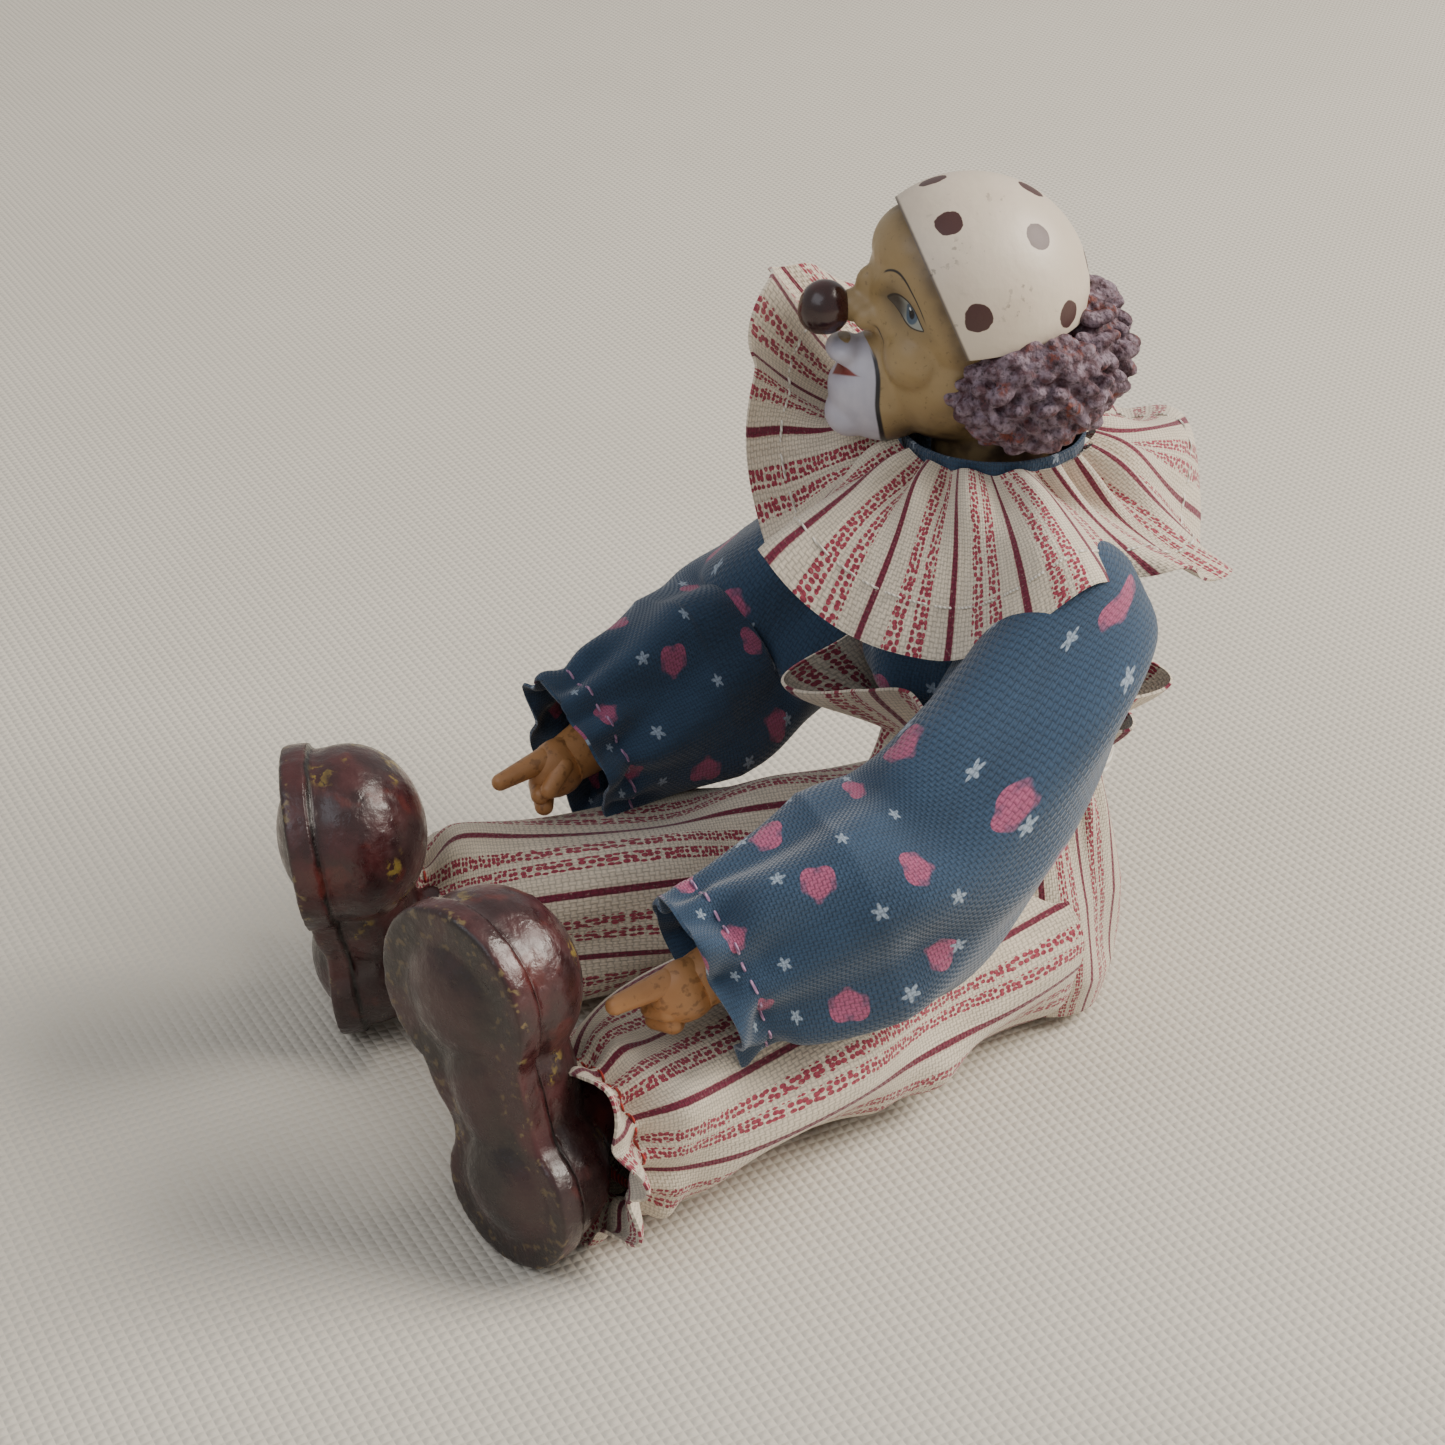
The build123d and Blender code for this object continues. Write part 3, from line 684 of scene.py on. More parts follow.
def ruff_place(u, v):
    turn = 2 * np.pi * u - np.pi / 2
    neck = np.stack([
        NECK_X + RUFF_NECK_R * np.cos(turn),
        NECK_Y + RUFF_NECK_R * np.sin(turn),
        np.full_like(u, RUFF_NECK_Z),
    ], axis=1)
    hem = ring_through(RUFF_HEM, u)
    fold = ring_through(RUFF_FOLD, u)
    t = v[:, None]
    spots = (1 - t) ** 2 * neck + 2 * t * (1 - t) * fold + t ** 2 * hem
    out = hem - neck
    out /= np.linalg.norm(out, axis=1)[:, None]
    round_way = np.stack([-np.sin(turn), np.cos(turn), np.zeros_like(u)], axis=1)
    face = np.cross(out, round_way)
    face *= np.sign(face[:, 2:3] + 1e-9)
    round_u = 2 * np.pi * u
    gathers = 1.35 * bell(v, 0.16, 0.27) * np.sin(17 * round_u + 1.6 * np.sin(3 * round_u))
    folds = 2.6 * np.sin(5 * round_u + 1.4 * np.sin(2 * round_u) + 0.5) + 1.2 * np.sin(11 * round_u + 2.0)
    curl = 0.8 * bell(v, 1.0, 0.2) * np.sin(15 * round_u + 1.0)
    return spots + face * (gathers + folds * step_up(v, 0.0, 0.95) + curl)[:, None]


ruff = flat_cloth("ruff", RUFF_ROUND, RUFF_WIDE, 520, 60, ruff_place, TICKING)
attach(ruff, "torso")
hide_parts("collar_ruff")

WHITE_THREAD = make_thread("white_thread", "ece8df", "b7b1a5")
HEM_V = 0.77
stitches("ruff_stitches", ruff_place, lambda t: (t, HEM_V + 0.012 * np.sin(19 * t)), 62,
         "torso", WHITE_THREAD, part=0.68, radius=0.14)

# ---- head, nose, cap and hair ----
# One cast resin head on a short neck: ochre skin brushed with brown and given painted shade low on the jaw,
# beside the cap and in the eye sockets, a white muzzle, a painted ball nose, a painted cap with a raised front
# edge, and hair modelled as tight worn curls.

HEAD_TURN = math.radians(-22.0)
HEAD_OUT = 2.0
HEAD_Z = 84.5
HEAD_AT = Vector((
    NECK_X + HEAD_OUT * math.sin(HEAD_TURN), NECK_Y - HEAD_OUT * math.cos(HEAD_TURN), HEAD_Z,
))
HEAD_FRAME = Matrix.Translation(HEAD_AT * MM) @ Matrix.Rotation(HEAD_TURN, 4, "Z") @ Matrix.Scale(MM, 4)


def blob(centre, radii, turn=(0, 0, 0), kind="ball", fine=24):
    """One rounded lump, a rod or a block, in mm; it stays selected for joining."""
    if kind == "ball":
        bpy.ops.mesh.primitive_uv_sphere_add(segments=2 * fine, ring_count=fine)
    elif kind == "rod":
        bpy.ops.mesh.primitive_cylinder_add(vertices=2 * fine, radius=1, depth=2)
    else:
        bpy.ops.mesh.primitive_cube_add(size=2)
    lump = bpy.context.active_object
    lump.matrix_world = (
        Matrix.Translation(Vector(centre)) @ Euler([math.radians(a) for a in turn]).to_matrix().to_4x4()
        @ Matrix.Diagonal((*radii, 1.0))
    )
    return lump


def joined(lumps, name):
    """Lumps as one object whose place is in its mesh."""
    bpy.ops.object.select_all(action="DESELECT")
    for lump in lumps:
        lump.select_set(True)
    bpy.context.view_layer.objects.active = lumps[0]
    if len(lumps) > 1:
        bpy.ops.object.join()
    piece = bpy.context.active_object
    bpy.ops.object.transform_apply(location=True, rotation=True, scale=True)
    piece.name = name
    piece.data.name = name
    return piece


def cast(lumps, name, frame_to_world, voxel, smooth, dents=()):
    """Lumps melted into one casting: remeshed, dented, smoothed, then put in its place."""
    piece = joined(lumps, name)
    modify(piece, "REMESH", mode="VOXEL", voxel_size=voxel)
    count = len(piece.data.vertices)
    spots = np.empty(3 * count)
    piece.data.vertices.foreach_get("co", spots)
    spots = spots.reshape(-1, 3)
    for centre, radii, push in dents:
        near = np.exp(-(((spots - centre) / radii) ** 2).sum(axis=1))
        spots = spots + near[:, None] * np.array(push, float)
    piece.data.vertices.foreach_set("co", spots.ravel())
    modify(piece, "SMOOTH", factor=0.5, iterations=smooth)
    piece.data.transform(frame_to_world)
    piece.data.update()
    bpy.ops.object.shade_smooth()
    return piece


def coat(piece, material):
    """One paint all over a casting."""
    piece.data.materials.clear()
    piece.data.materials.append(material)


def head_space(tree):
    """Place on the head, in mm from its centre: -Y is the face, +X its left."""
    place = node(tree, "ShaderNodeTexCoord").outputs["Object"]
    turned = node(
        tree, "ShaderNodeMapping", {"vector_type": "TEXTURE"}, Vector=place,
        Location=tuple(HEAD_AT * MM), Rotation=(0, 0, HEAD_TURN), Scale=(MM, MM, MM),
    )
    return turned.outputs[0]


def band(tree, value, half, soft):
    """1 where a value is within half of zero."""
    return ramp(tree, calc(tree, "ABSOLUTE", value), half - soft, half + soft, 1.0, 0.0)


def make_face_paint():
    made, tree, shader = new_material("face_paint", 0.42, Coat_Weight=0.25, Coat_Roughness=0.3)
    spot = head_space(tree)
    axis = node(tree, "ShaderNodeSeparateXYZ", Vector=spot)
    x, y, z = axis.outputs
    side = calc(tree, "ABSOLUTE", x)
    front = calc(tree, "MULTIPLY", y, -1.0)
    az = calc(tree, "MULTIPLY", calc(tree, "ARCTAN2", side, front), 57.2958)
    ochre = mix(tree, blotch(tree, spot, 7.0), srgb("a48c62"), srgb("8b744d"))
    # brown wash and painted shade: darker low on the jaw and at the back of the head, and beside the cap and
    # hair; painted shade in the sockets too, most at their inner corners by the nose
    low = ramp(tree, calc(tree, "MULTIPLY_ADD", y, 0.55, calc(tree, "MULTIPLY", z, -1.0)), 3.0, 10.5)
    shade_by_cap = ramp(tree, calc(tree, "MULTIPLY_ADD", z, 0.42, y), -6.5, -4.0, 0.0, 0.7)
    wash_and_shade = calc(tree, "MAXIMUM", low, shade_by_cap)
    cloud = ramp(tree, blotch(tree, spot, 2.5), 0.3, 0.7, 0.45, 1.0)
    skin = mix(tree, calc(tree, "MULTIPLY", wash_and_shade, cloud), ochre, srgb("34241b"))
    grime = ramp(tree, blotch(tree, spot, 0.5), 0.60, 0.72, 0.0, 0.35)
    skin = mix(tree, grime, skin, srgb("4a3826"))
    # eye: an almond between two lid lines that slant down and outwards
    t = calc(tree, "DIVIDE", calc(tree, "SUBTRACT", az, 35.5), 14.5)
    open_eye = calc(tree, "SUBTRACT", 1.0, calc(tree, "MULTIPLY", t, t))
    lift = calc(tree, "SUBTRACT", z, calc(tree, "MULTIPLY_ADD", az, -0.0724, 4.02))
    above = calc(tree, "SUBTRACT", calc(tree, "MULTIPLY", open_eye, 1.75), lift)
    below = calc(tree, "ADD", lift, calc(tree, "MULTIPLY", open_eye, 0.75))
    inside = calc(tree, "MINIMUM", above, below)
    # painted shade in the eye socket, strongest at the inner corner
    socket = ramp(tree, inside, -2.6, 0.4, 0.0, 0.62)
    inner_corner_shade = ramp(tree, az, 24.0, 38.0, 1.0, 0.45)
    skin = mix(tree, calc(tree, "MULTIPLY", socket, inner_corner_shade), skin, srgb("2a1f18"))
    eye = ramp(tree, inside, 0.02, 0.14)
    iris_x = calc(tree, "MULTIPLY", calc(tree, "SUBTRACT", az, 40.0), 0.2)
    iris_z = calc(tree, "SUBTRACT", z, 1.75)
    iris_far = far_from(tree, iris_x, iris_z)
    # the eye's white is painted darker at the inner corner, as shade
    eye_white_and_shade = mix(tree, ramp(tree, az, 28.0, 38.0), srgb("3c342c"), srgb("8d918b"))
    ball = mix(tree, ramp(tree, iris_far, 1.0, 1.18, 1.0, 0.0), eye_white_and_shade, srgb("47596a"))
    ball = mix(tree, ramp(tree, iris_far, 0.5, 0.62, 1.0, 0.0), ball, srgb("10151a"))
    glint_x = calc(tree, "ADD", iris_x, 0.3)
    glint_z = calc(tree, "SUBTRACT", iris_z, 0.42)
    glint = far_from(tree, glint_x, glint_z)
    ball = mix(tree, ramp(tree, glint, 0.14, 0.24, 1.0, 0.0), ball, srgb("dfe6e8"))
    skin = mix(tree, eye, skin, ball)
    lid = calc(tree, "MULTIPLY", band(tree, above, 0.13, 0.06), ramp(tree, open_eye, -0.02, 0.05))
    lash = calc(tree, "MULTIPLY", band(tree, below, 0.07, 0.05), ramp(tree, open_eye, -0.02, 0.05))
    lines = calc(tree, "MAXIMUM", lid, lash)
    # brow: one thin arc over the socket
    over = calc(tree, "DIVIDE", calc(tree, "SUBTRACT", az, 27.0), 23.5)
    arc = calc(tree, "MULTIPLY_ADD", calc(tree, "MULTIPLY", over, over), -4.3, 5.7)
    brow = band(tree, calc(tree, "SUBTRACT", z, arc), 0.13, 0.07)
    reach = calc(tree, "MULTIPLY", ramp(tree, az, 17.0, 20.0), ramp(tree, az, 48.0, 52.0, 1.0, 0.0))
    lines = calc(tree, "MAXIMUM", lines, calc(tree, "MULTIPLY", brow, reach))
    # fold from the nose wing down the cheek
    fold = band(tree, calc(tree, "SUBTRACT", az, calc(tree, "MULTIPLY_ADD", z, -2.4, 14.0)), 0.6, 0.5)
    fold = calc(tree, "MULTIPLY", fold, calc(tree, "MULTIPLY", ramp(tree, z, -4.2, -3.0),
                                           ramp(tree, z, -1.6, -0.4, 1.0, 0.0)))
    lines = calc(tree, "MAXIMUM", lines, fold)
    skin = mix(tree, lines, skin, srgb("1d1410"))
    # muzzle: a white patch round the mouth with a black edge behind and below, and red lips
    up_down = calc(tree, "ABSOLUTE", calc(tree, "DIVIDE", calc(tree, "ADD", z, 9.2), 6.0))
    reach = calc(tree, "SQRT", calc(tree, "MAXIMUM", calc(tree, "SUBTRACT", 1.0, calc(
        tree, "POWER", up_down, 2.6)), 0.0))
    behind = calc(tree, "MULTIPLY", calc(tree, "SUBTRACT", calc(tree, "MULTIPLY", reach, 25.0), az), 0.22)
    above = calc(tree, "MULTIPLY", calc(tree, "SUBTRACT", 1.0, up_down), 6.0)
    patch = calc(tree, "MINIMUM", behind, above)
    ahead = ramp(tree, front, 5.0, 6.5)
    muzzle = calc(tree, "MULTIPLY", ramp(tree, patch, -0.06, 0.06), ahead)
    pale = mix(tree, blotch(tree, spot, 2.2), srgb("c4c1cc"), srgb("9c9cab"))
    skin = mix(tree, muzzle, skin, pale)
    rim = calc(tree, "MULTIPLY", band(tree, patch, 0.16, 0.07), ahead)
    rim = calc(tree, "MULTIPLY", rim, ramp(tree, z, -3.4, -4.8))
    skin = mix(tree, rim, skin, srgb("121015"))
    lips = calc(tree, "SUBTRACT", 1.0, calc(tree, "DIVIDE", side, 4.0))
    mouth = calc(tree, "SUBTRACT", calc(tree, "MULTIPLY", lips, 1.25),
                 calc(tree, "ABSOLUTE", calc(tree, "ADD", z, 6.3)))
    red = calc(tree, "MULTIPLY", ramp(tree, mouth, -0.1, 0.15), ahead)
    skin = mix(tree, red, skin, mix(tree, blotch(tree, spot, 1.0), srgb("8a3a33"), srgb("6a2426")))
    tree.links.new(skin, shader.inputs["Base Color"])
    rough = ramp(tree, blotch(tree, spot, 1.8), 0.3, 0.7, 0.34, 0.55)
    tree.links.new(rough, shader.inputs["Roughness"])
    bump(tree, shader, blotch(tree, spot, 0.9), 0.25, 0.00012)
    return made


face = cast(
    [
        blob((0, -0.9, 1.3), (10.9, 11.3, 11.6)), blob((0, -2.2, -5.6), (9.6, 9.6, 9.6)),
        blob((0, -5.7, 6.3), (7.0, 5.9, 4.9)), blob((0, -9.9, -8.9), (5.6, 6.2, 6.2)),
        blob((0, -9.9, 4.2), (5.2, 1.4, 1.2)), blob((0, -10.9, 1.8), (1.7, 2.3, 3.0), (28, 0, 0)),
        blob((0, -12.6, 0.2), (1.9, 3.4, 1.9)), blob((2.0, -11.9, -0.5), (1.4, 1.9, 1.5)),
        blob((-2.0, -11.9, -0.5), (1.4, 1.9, 1.5)), blob((5.2, -7.6, -3.6), (4.0, 3.4, 3.8)),
        blob((-5.2, -7.6, -3.6), (4.0, 3.4, 3.8)), blob((0, -13.7, -11.9), (3.4, 2.7, 2.6)),
        blob((0, -14.4, -4.6), (3.2, 2.0, 1.5)), blob((0, 2.0, -17.0), (6.6, 6.6, 6.0), kind="rod"),
    ],
    "head", HEAD_FRAME, 0.32, 6,
    dents=(
        ((5.6, -9.9, 1.7), (2.7, 2.6, 1.7), (-0.5, 1.3, 0)),
        ((-5.6, -9.9, 1.7), (2.7, 2.6, 1.7), (0.5, 1.3, 0)),
        ((0, -16.2, -6.6), (3.4, 2.4, 0.75), (0, 1.3, 0)),
    ),
)
coat(face, make_face_paint())
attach(face, "head")
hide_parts("head_casting")


def make_gloss(name, light, dark, rough):
    """Worn gloss paint on resin, with a cloudy tone."""
    made, tree, shader = new_material(name, rough, Coat_Weight=0.5, Coat_Roughness=0.18)
    spot = world_mm(tree)
    tone = mix(tree, ramp(tree, blotch(tree, spot, 5.0), 0.3, 0.7), srgb(dark), srgb(light))
    tree.links.new(tone, shader.inputs["Base Color"])
    tree.links.new(ramp(tree, blotch(tree, spot, 1.4), 0.3, 0.75, rough * 0.7, rough * 1.6),
                   shader.inputs["Roughness"])
    bump(tree, shader, blotch(tree, spot, 1.1), 0.35, 0.00015)
    return made


nose = cast([blob((0, -16.5, 0.1), (2.75, 2.8, 2.95)), blob((0, -16.9, -0.3), (2.6, 2.5, 2.5))],
            "nose", HEAD_FRAME, 0.2, 3)
coat(nose, make_gloss("nose_paint", "3d1418", "25090c", 0.22))
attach(nose, "head")
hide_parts("nose_ball")

CAP_SLOPE = math.radians(24.0)
CAP_EDGE = Vector((0, -7.2, 7.0))
CAP_BRIM_Z = -1.6
CAP_T = 1.15
CAP_RIM_R = 0.35
CAP_DOTS = [
    (6.4, -4.8, 11.2), (7.1, 4.5, 9.6), (11.8, -2.3, 2.8), (8.4, 7.8, 1.5), (-1.5, -5.2, 13.0),
    (0.0, 5.0, 12.4), (-7.8, -1.4, 10.4), (-11.7, -2.3, 2.8), (-8.4, 7.8, 1.5), (-5.6, 7.4, 7.8),
    (1.4, 10.6, 4.6),
]


def make_cap_paint():
    made, tree, shader = new_material("cap_paint", 0.5, Coat_Weight=0.3, Coat_Roughness=0.3)
    spot = head_space(tree)
    cream = mix(tree, blotch(tree, spot, 6.0), srgb("dacfbd"), srgb("c8b8a6"))
    grime = calc(tree, "MULTIPLY", ramp(tree, blotch(tree, spot, 5.0), 0.5, 0.7),
                 ramp(tree, blotch(tree, spot, 0.7), 0.60, 0.68))
    cream = mix(tree, calc(tree, "MULTIPLY", grime, 0.6), cream, srgb("6d655a"))
    wobble = calc(tree, "MULTIPLY_ADD", blotch(tree, spot, 1.6), 0.7, -0.35)
    dots = 0.0
    for centre in CAP_DOTS:
        far = node(tree, "ShaderNodeVectorMath", {"operation": "DISTANCE"}, i0=spot, i1=centre)
        dot = ramp(tree, calc(tree, "ADD", far.outputs["Value"], wobble), 1.42, 1.52, 1.0, 0.0)
        dots = calc(tree, "MAXIMUM", dots, dot)
    cream = mix(tree, dots, cream, srgb("42211f"))
    axis = node(tree, "ShaderNodeSeparateXYZ", Vector=spot)
    above, behind = (calc(tree, "SUBTRACT", axis.outputs[k], CAP_EDGE[k]) for k in (2, 1))
    rise = calc(tree, "MULTIPLY", above, math.sin(CAP_SLOPE))
    back = calc(tree, "MULTIPLY", behind, math.cos(CAP_SLOPE))
    line = ramp(tree, calc(tree, "ADD", rise, back), 0.1, 0.4, 0.85, 0.0)
    cream = mix(tree, line, cream, srgb("3a2a1e"))
    tree.links.new(cream, shader.inputs["Base Color"])
    bump(tree, shader, blotch(tree, spot, 1.6), 0.3, 0.0003)
    return made


bpy.ops.object.select_all(action="DESELECT")
cap = blob((0, -1.2, 1.3), (11.9, 12.7, 12.5), fine=56)
bpy.ops.object.transform_apply(location=True, rotation=True, scale=True)
bpy.ops.object.mode_set(mode="EDIT")
bpy.ops.mesh.select_all(action="SELECT")
bpy.ops.mesh.bisect(plane_co=(0, 0, CAP_BRIM_Z), plane_no=(0, -0.12, 1), clear_inner=True)
bpy.ops.mesh.select_all(action="SELECT")
bpy.ops.mesh.bisect(
    plane_co=CAP_EDGE, plane_no=(0, math.cos(CAP_SLOPE), math.sin(CAP_SLOPE)), clear_inner=True,
)
bpy.ops.object.mode_set(mode="OBJECT")
cap.name = cap.data.name = "cap"
modify(cap, "SOLIDIFY", thickness=CAP_T, offset=-1.0)
modify(cap, "BEVEL", width=CAP_RIM_R, segments=3, limit_method="ANGLE", angle_limit=math.radians(50))
cap.data.transform(HEAD_FRAME)
bpy.ops.object.shade_smooth_by_angle(angle=math.radians(60))
cap.data.materials.append(make_cap_paint())
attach(cap, "head")
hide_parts("skull_cap")


def make_hair_paint():
    made, tree, shader = new_material("hair_paint", 0.7)
    spot = head_space(tree)
    lilac = mix(tree, ramp(tree, blotch(tree, spot, 1.1), 0.35, 0.65), srgb("4a2e38"), srgb("83727f"))
    rust = calc(tree, "MULTIPLY", ramp(tree, blotch(tree, spot, 3.2), 0.5, 0.66),
                ramp(tree, blotch(tree, spot, 0.9), 0.45, 0.6))
    lilac = mix(tree, rust, lilac, srgb("6e3328"))
    deep = ramp(tree, blotch(tree, spot, 0.45), 0.3, 0.5, 0.75, 0.0)
    lilac = mix(tree, deep, lilac, srgb("24121a"))
    tree.links.new(lilac, shader.inputs["Base Color"])
    bump(tree, shader, blotch(tree, spot, 0.6), 0.9, 0.0005)
    return made


HAIR_PAINT = make_hair_paint()
dice = random.Random(7)


def make_hair(name, centre, radii, span, node_names):
    """A base lump set all over with small curls; span limits the turn round the head, in degrees."""
    lumps = [blob(centre, [r * 0.86 for r in radii], fine=12)]
    for row in range(9):
        for step in range(16):
            az = math.radians(span[0] + (span[1] - span[0]) * (step + 0.5 * (row % 2)) / 15)
            level = math.radians(-72 + 17 * row)
            out = Vector((math.cos(level) * math.sin(az), -math.cos(level) * math.cos(az), math.sin(level)))
            place = Vector(centre) + Vector([o * r * dice.uniform(0.86, 1.0) for o, r in zip(out, radii)])
            if place.z > CAP_BRIM_Z + 1.2 + 0.12 * place.y:
                continue
            size = dice.uniform(0.75, 1.25)
            turn = [dice.uniform(-40, 40) for _ in range(3)]
            lumps.append(blob(place, (size, size * 1.5, size * 0.8), turn, fine=6))
    hair = cast(lumps, name, HEAD_FRAME, 0.27, 1)
    coat(hair, HAIR_PAINT)
    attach(hair, "head")
    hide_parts(*node_names)


make_hair("hair_left_curls", (9.0, 4.2, -6.6), (4.6, 8.2, 6.3), (0, 360), ["hair_left"])
make_hair("hair_right_curls", (-9.0, 4.2, -6.6), (4.6, 8.2, 6.3), (0, 360), ["hair_right"])
make_hair("hair_back_curls", (0, 11.0, -5.2), (9.4, 5.0, 7.4), (0, 360), ["hair_back"])

# ---- hands ----
# Cast resin hands with a pointing forefinger, tan paint rubbed thin on the knuckles.


def repaint(material, piece_names):
    """Gives pieces that keep their CAD shape a finish."""
    for name in piece_names:
        for place in bpy.data.objects[name].material_slots:
            place.material = material


def make_hand_paint():
    made, tree, shader = new_material("hand_paint", 0.45, Coat_Weight=0.2, Coat_Roughness=0.35)
    spot = world_mm(tree)
    tan = mix(tree, blotch(tree, spot, 3.5), srgb("bd8a58"), srgb("9c6a3e"))
    rubbed = ramp(tree, blotch(tree, spot, 1.0), 0.55, 0.66, 0.0, 0.5)
    tan = mix(tree, rubbed, tan, srgb("5c3a20"))
    tree.links.new(tan, shader.inputs["Base Color"])
    bump(tree, shader, blotch(tree, spot, 0.8), 0.3, 0.0002)
    return made


repaint(make_hand_paint(), ["left_hand", "right_hand"])

# ---- boots ----
# Cast resin boots, standing on their heels and splayed: thick tread, welt and bulbous toe, in dark maroon
# gloss rubbed through to gold and rust along the welt and on the toe. Sizes and turns are in mm and degrees.

BOOT_SPLAY = 20.0
BOOT_LEAN = 18.0
BOOT_PITCH = {"left": 0.0, "right": 7.0}
HEEL_R = 8.6
TREAD_OUT = 13.0


def boot_frame(side, word):
    """Boot's own axes, mm: tread in the plane y = 0, heel at z = 0, toe up."""
    ankle = JOINT[f"{word}_boot_twist"]
    stand = Matrix.Translation((ankle.x - side * 2.6, ankle.y, 0))
    splay = Matrix.Rotation(math.radians(side * BOOT_SPLAY), 4, "Z")
    lean = Matrix.Rotation(math.radians(-side * BOOT_LEAN), 4, "Y")
    pitch = Matrix.Rotation(math.radians(BOOT_PITCH[word]), 4, "X")
    heel = Matrix.Translation((0, 0, HEEL_R))
    out = Matrix.Translation((0, -TREAD_OUT, 0))
    return Matrix.Scale(MM, 4) @ stand @ splay @ out @ heel @ lean @ pitch @ heel.inverted()


def make_boot_paint(side, word):
    made, tree, shader = new_material(f"{word}_boot_paint", 0.36, Coat_Weight=0.3, Coat_Roughness=0.25)
    place = node(tree, "ShaderNodeTexCoord").outputs["Object"]
    frame_at = boot_frame(side, word)
    turned = node(
        tree, "ShaderNodeMapping", {"vector_type": "TEXTURE"}, Vector=place, Scale=(MM, MM, MM),
        Location=tuple(frame_at.translation), Rotation=tuple(frame_at.to_euler()),
    )
    spot = turned.outputs[0]
    depth = node(tree, "ShaderNodeSeparateXYZ", Vector=spot).outputs[1]
    upper = mix(tree, ramp(tree, blotch(tree, spot, 6.0), 0.35, 0.65), srgb("2e1a1c"), srgb("4a2224"))
    tread = mix(tree, ramp(tree, blotch(tree, spot, 9.0), 0.4, 0.6), srgb("241a19"), srgb("3a2021"))
    tone = mix(tree, ramp(tree, depth, 0.15, 0.5), tread, upper)
    welt = calc(tree, "SUBTRACT", depth, calc(tree, "MULTIPLY_ADD", blotch(tree, spot, 3.0), 0.8, 2.7))
    tone = mix(tree, band(tree, welt, 0.22, 0.14), tone, srgb("140b0b"))
    edge = calc(tree, "MULTIPLY", band(tree, calc(tree, "SUBTRACT", depth, 0.5), 0.5, 0.3),
                ramp(tree, blotch(tree, spot, 1.2), 0.55, 0.65))
    tone = mix(tree, edge, tone, srgb("6b5a3a"))
    scuff = calc(tree, "MULTIPLY", ramp(tree, blotch(tree, spot, 7.0), 0.60, 0.68),
                 ramp(tree, blotch(tree, spot, 0.9), 0.50, 0.58))
    scuff = calc(tree, "MULTIPLY", scuff, ramp(tree, depth, 3.0, 4.0))
    tone = mix(tree, scuff, tone, srgb("7d6a2f"))
    rust = calc(tree, "MULTIPLY", ramp(tree, blotch(tree, spot, 4.0), 0.56, 0.66), ramp(tree, depth, 1.0, 3.0))
    tone = mix(tree, calc(tree, "MULTIPLY", rust, 0.35), tone, srgb("6a2a22"))
    tree.links.new(tone, shader.inputs["Base Color"])
    tree.links.new(ramp(tree, blotch(tree, spot, 1.5), 0.3, 0.75, 0.24, 0.5), shader.inputs["Roughness"])
    height = calc(tree, "SUBTRACT", blotch(tree, spot, 1.6), band(tree, welt, 0.3, 0.25))
    bump(tree, shader, height, 0.6, 0.0005)
    return made


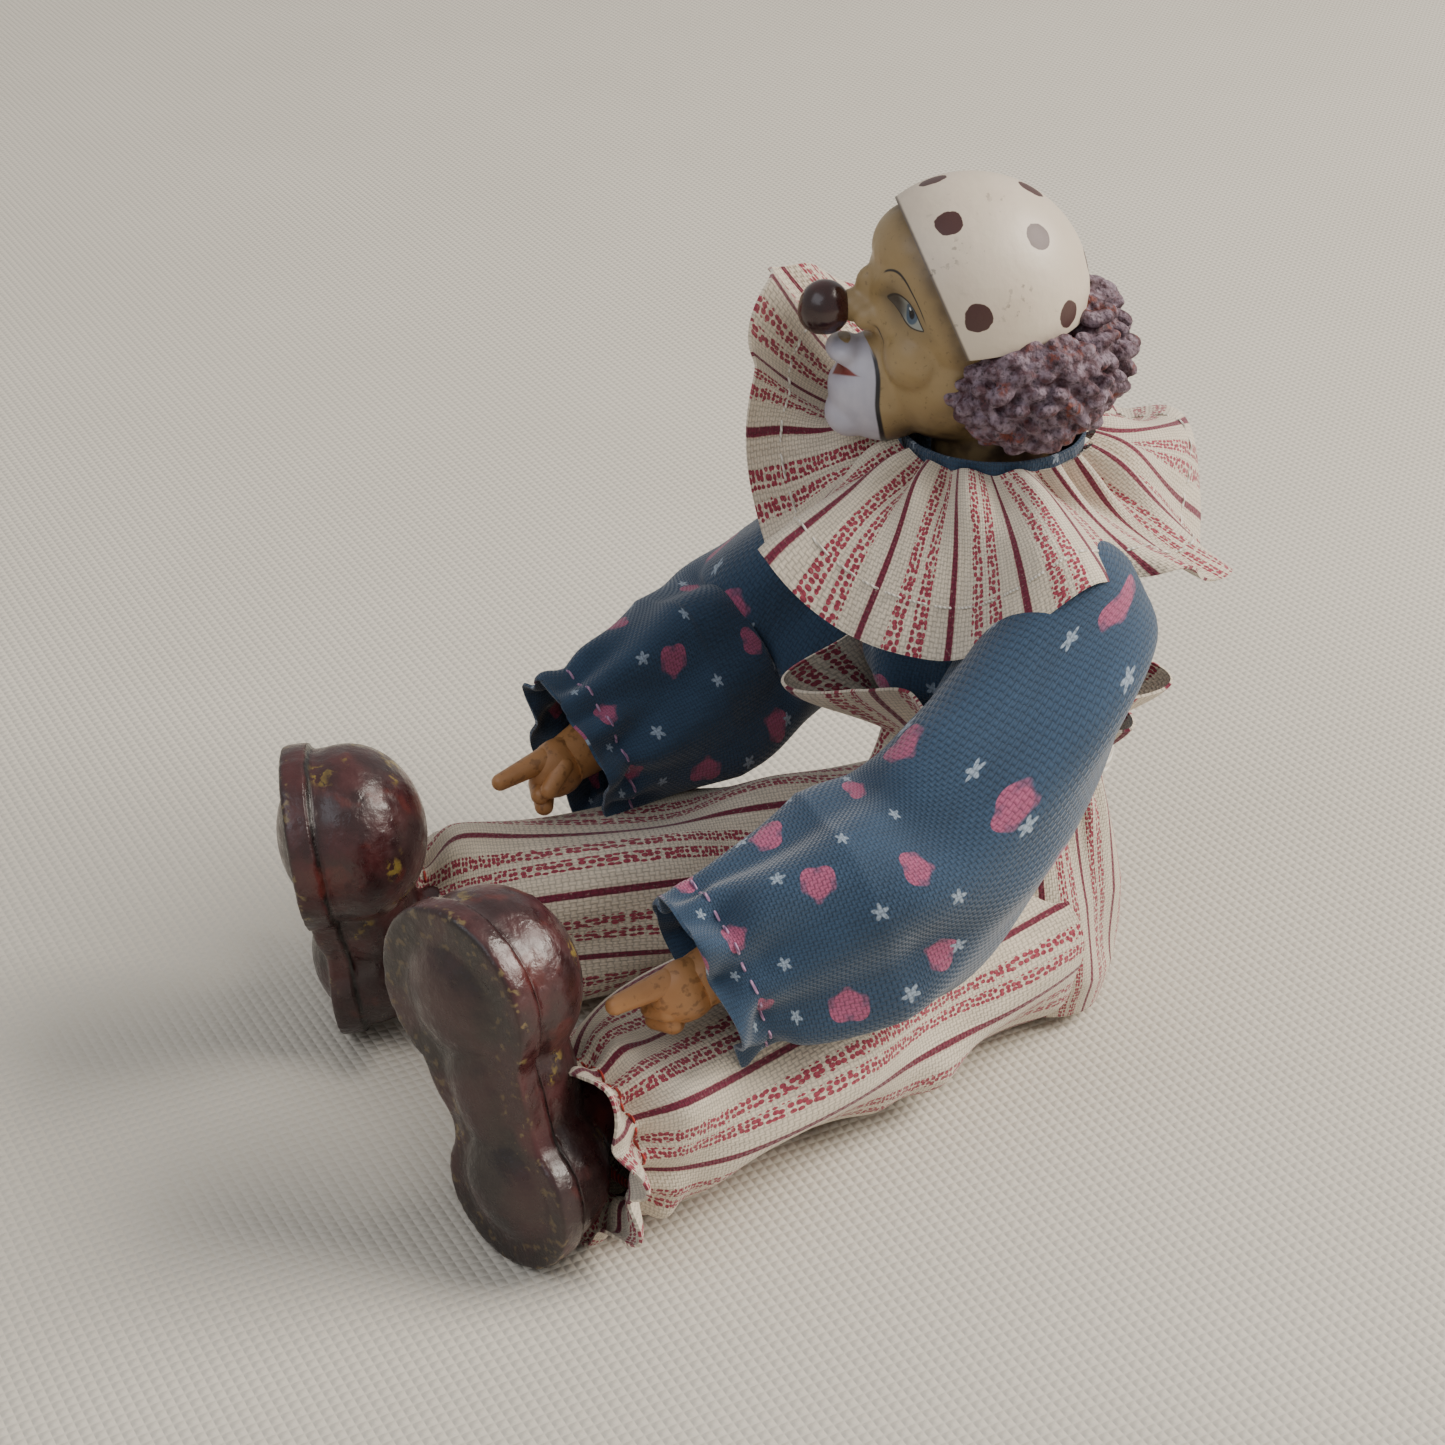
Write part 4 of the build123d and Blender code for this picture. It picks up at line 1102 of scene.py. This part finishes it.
for side, word in SIDES:
    boot = cast(
        [
            blob((0, 1.5, 30.7), (10.3, 10.3, 1.5), (90, 0, 0), kind="rod"),
            blob((0, 1.5, 8.8), (8.7, 8.7, 1.5), (90, 0, 0), kind="rod"),
            blob((0, 1.5, 19.5), (7.2, 1.5, 9.5), kind="block"),
            blob((0, 6.2, 30.4), (9.7, 8.2, 9.9)), blob((0, 5.2, 20.0), (6.9, 6.4, 12.0)),
            blob((0, 5.0, 9.6), (8.1, 7.0, 8.6)), blob((0, 2.4, 30.6), (9.5, 9.5, 2.4), (90, 0, 0), kind="rod"),
            blob((0, 2.4, 9.0), (8.1, 8.1, 2.4), (90, 0, 0), kind="rod"),
            blob((0, 9.5, 12.0), (5.4, 5.4, 4.5), (90, 0, 0), kind="rod"),
            blob((3.2, 10.6, 37.2), (0.9, 0.9, 0.9)),
        ],
        f"{word}_boot_cast", boot_frame(side, word), 0.42, 4,
        dents=(((7.0, 0.6, 16.0), (2.6, 3.0, 3.2), (-0.9, 0.6, 0)),
               ((-7.0, 0.6, 16.0), (2.6, 3.0, 3.2), (0.9, 0.6, 0))),
    )
    coat(boot, make_boot_paint(side, word))
    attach(boot, f"{word}_boot")
    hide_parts(f"{word}_boot")

# ---- threads and elastic ----
# Red gathering thread at the ankles, lilac covered elastic at the cuffs, white elastic at the waist.


repaint(RED_THREAD, ["left_ankle_thread", "right_ankle_thread"])
repaint(LILAC_ELASTIC, ["left_cuff_elastic", "right_cuff_elastic"])
repaint(WHITE_THREAD, ["waist_elastic", "neck_thread"])

# ---- inside ----
# Polyester stuffing in a muslin casing, over an armature of galvanised wire.


def make_fibre(name, light, dark, size):
    made, tree, shader = new_material(name, 0.95, Sheen_Weight=0.2)
    spot = world_mm(tree)
    tone = mix(tree, blotch(tree, spot, size), srgb(light), srgb(dark))
    tree.links.new(tone, shader.inputs["Base Color"])
    bump(tree, shader, blotch(tree, spot, size / 3), 0.6, 0.0005)
    return made


LIMBS = [f"{word}_{limb}" for word in ("left", "right") for limb in ("upper_arm", "forearm", "thigh", "shin")]
FILLINGS = ["torso_filling"] + [f"{limb}_filling" for limb in LIMBS]
repaint(make_fibre("stuffing", "f1efe9", "d6d2c8", 2.5), FILLINGS)
repaint(make_fibre("muslin", "e6ddca", "cfc3aa", 1.2), ["torso_casing"])
wire, tree, shader = new_material("galvanised_wire", 0.35, Metallic=1.0)
spot = world_mm(tree)
tree.links.new(mix(tree, blotch(tree, spot, 1.0), srgb("b9bcc0"), srgb("8d9196")), shader.inputs["Base Color"])
bump(tree, shader, blotch(tree, spot, 0.5), 0.2, 0.00005)
repaint(wire, ["spine_wire"] + [f"{limb}_wire" for limb in LIMBS])
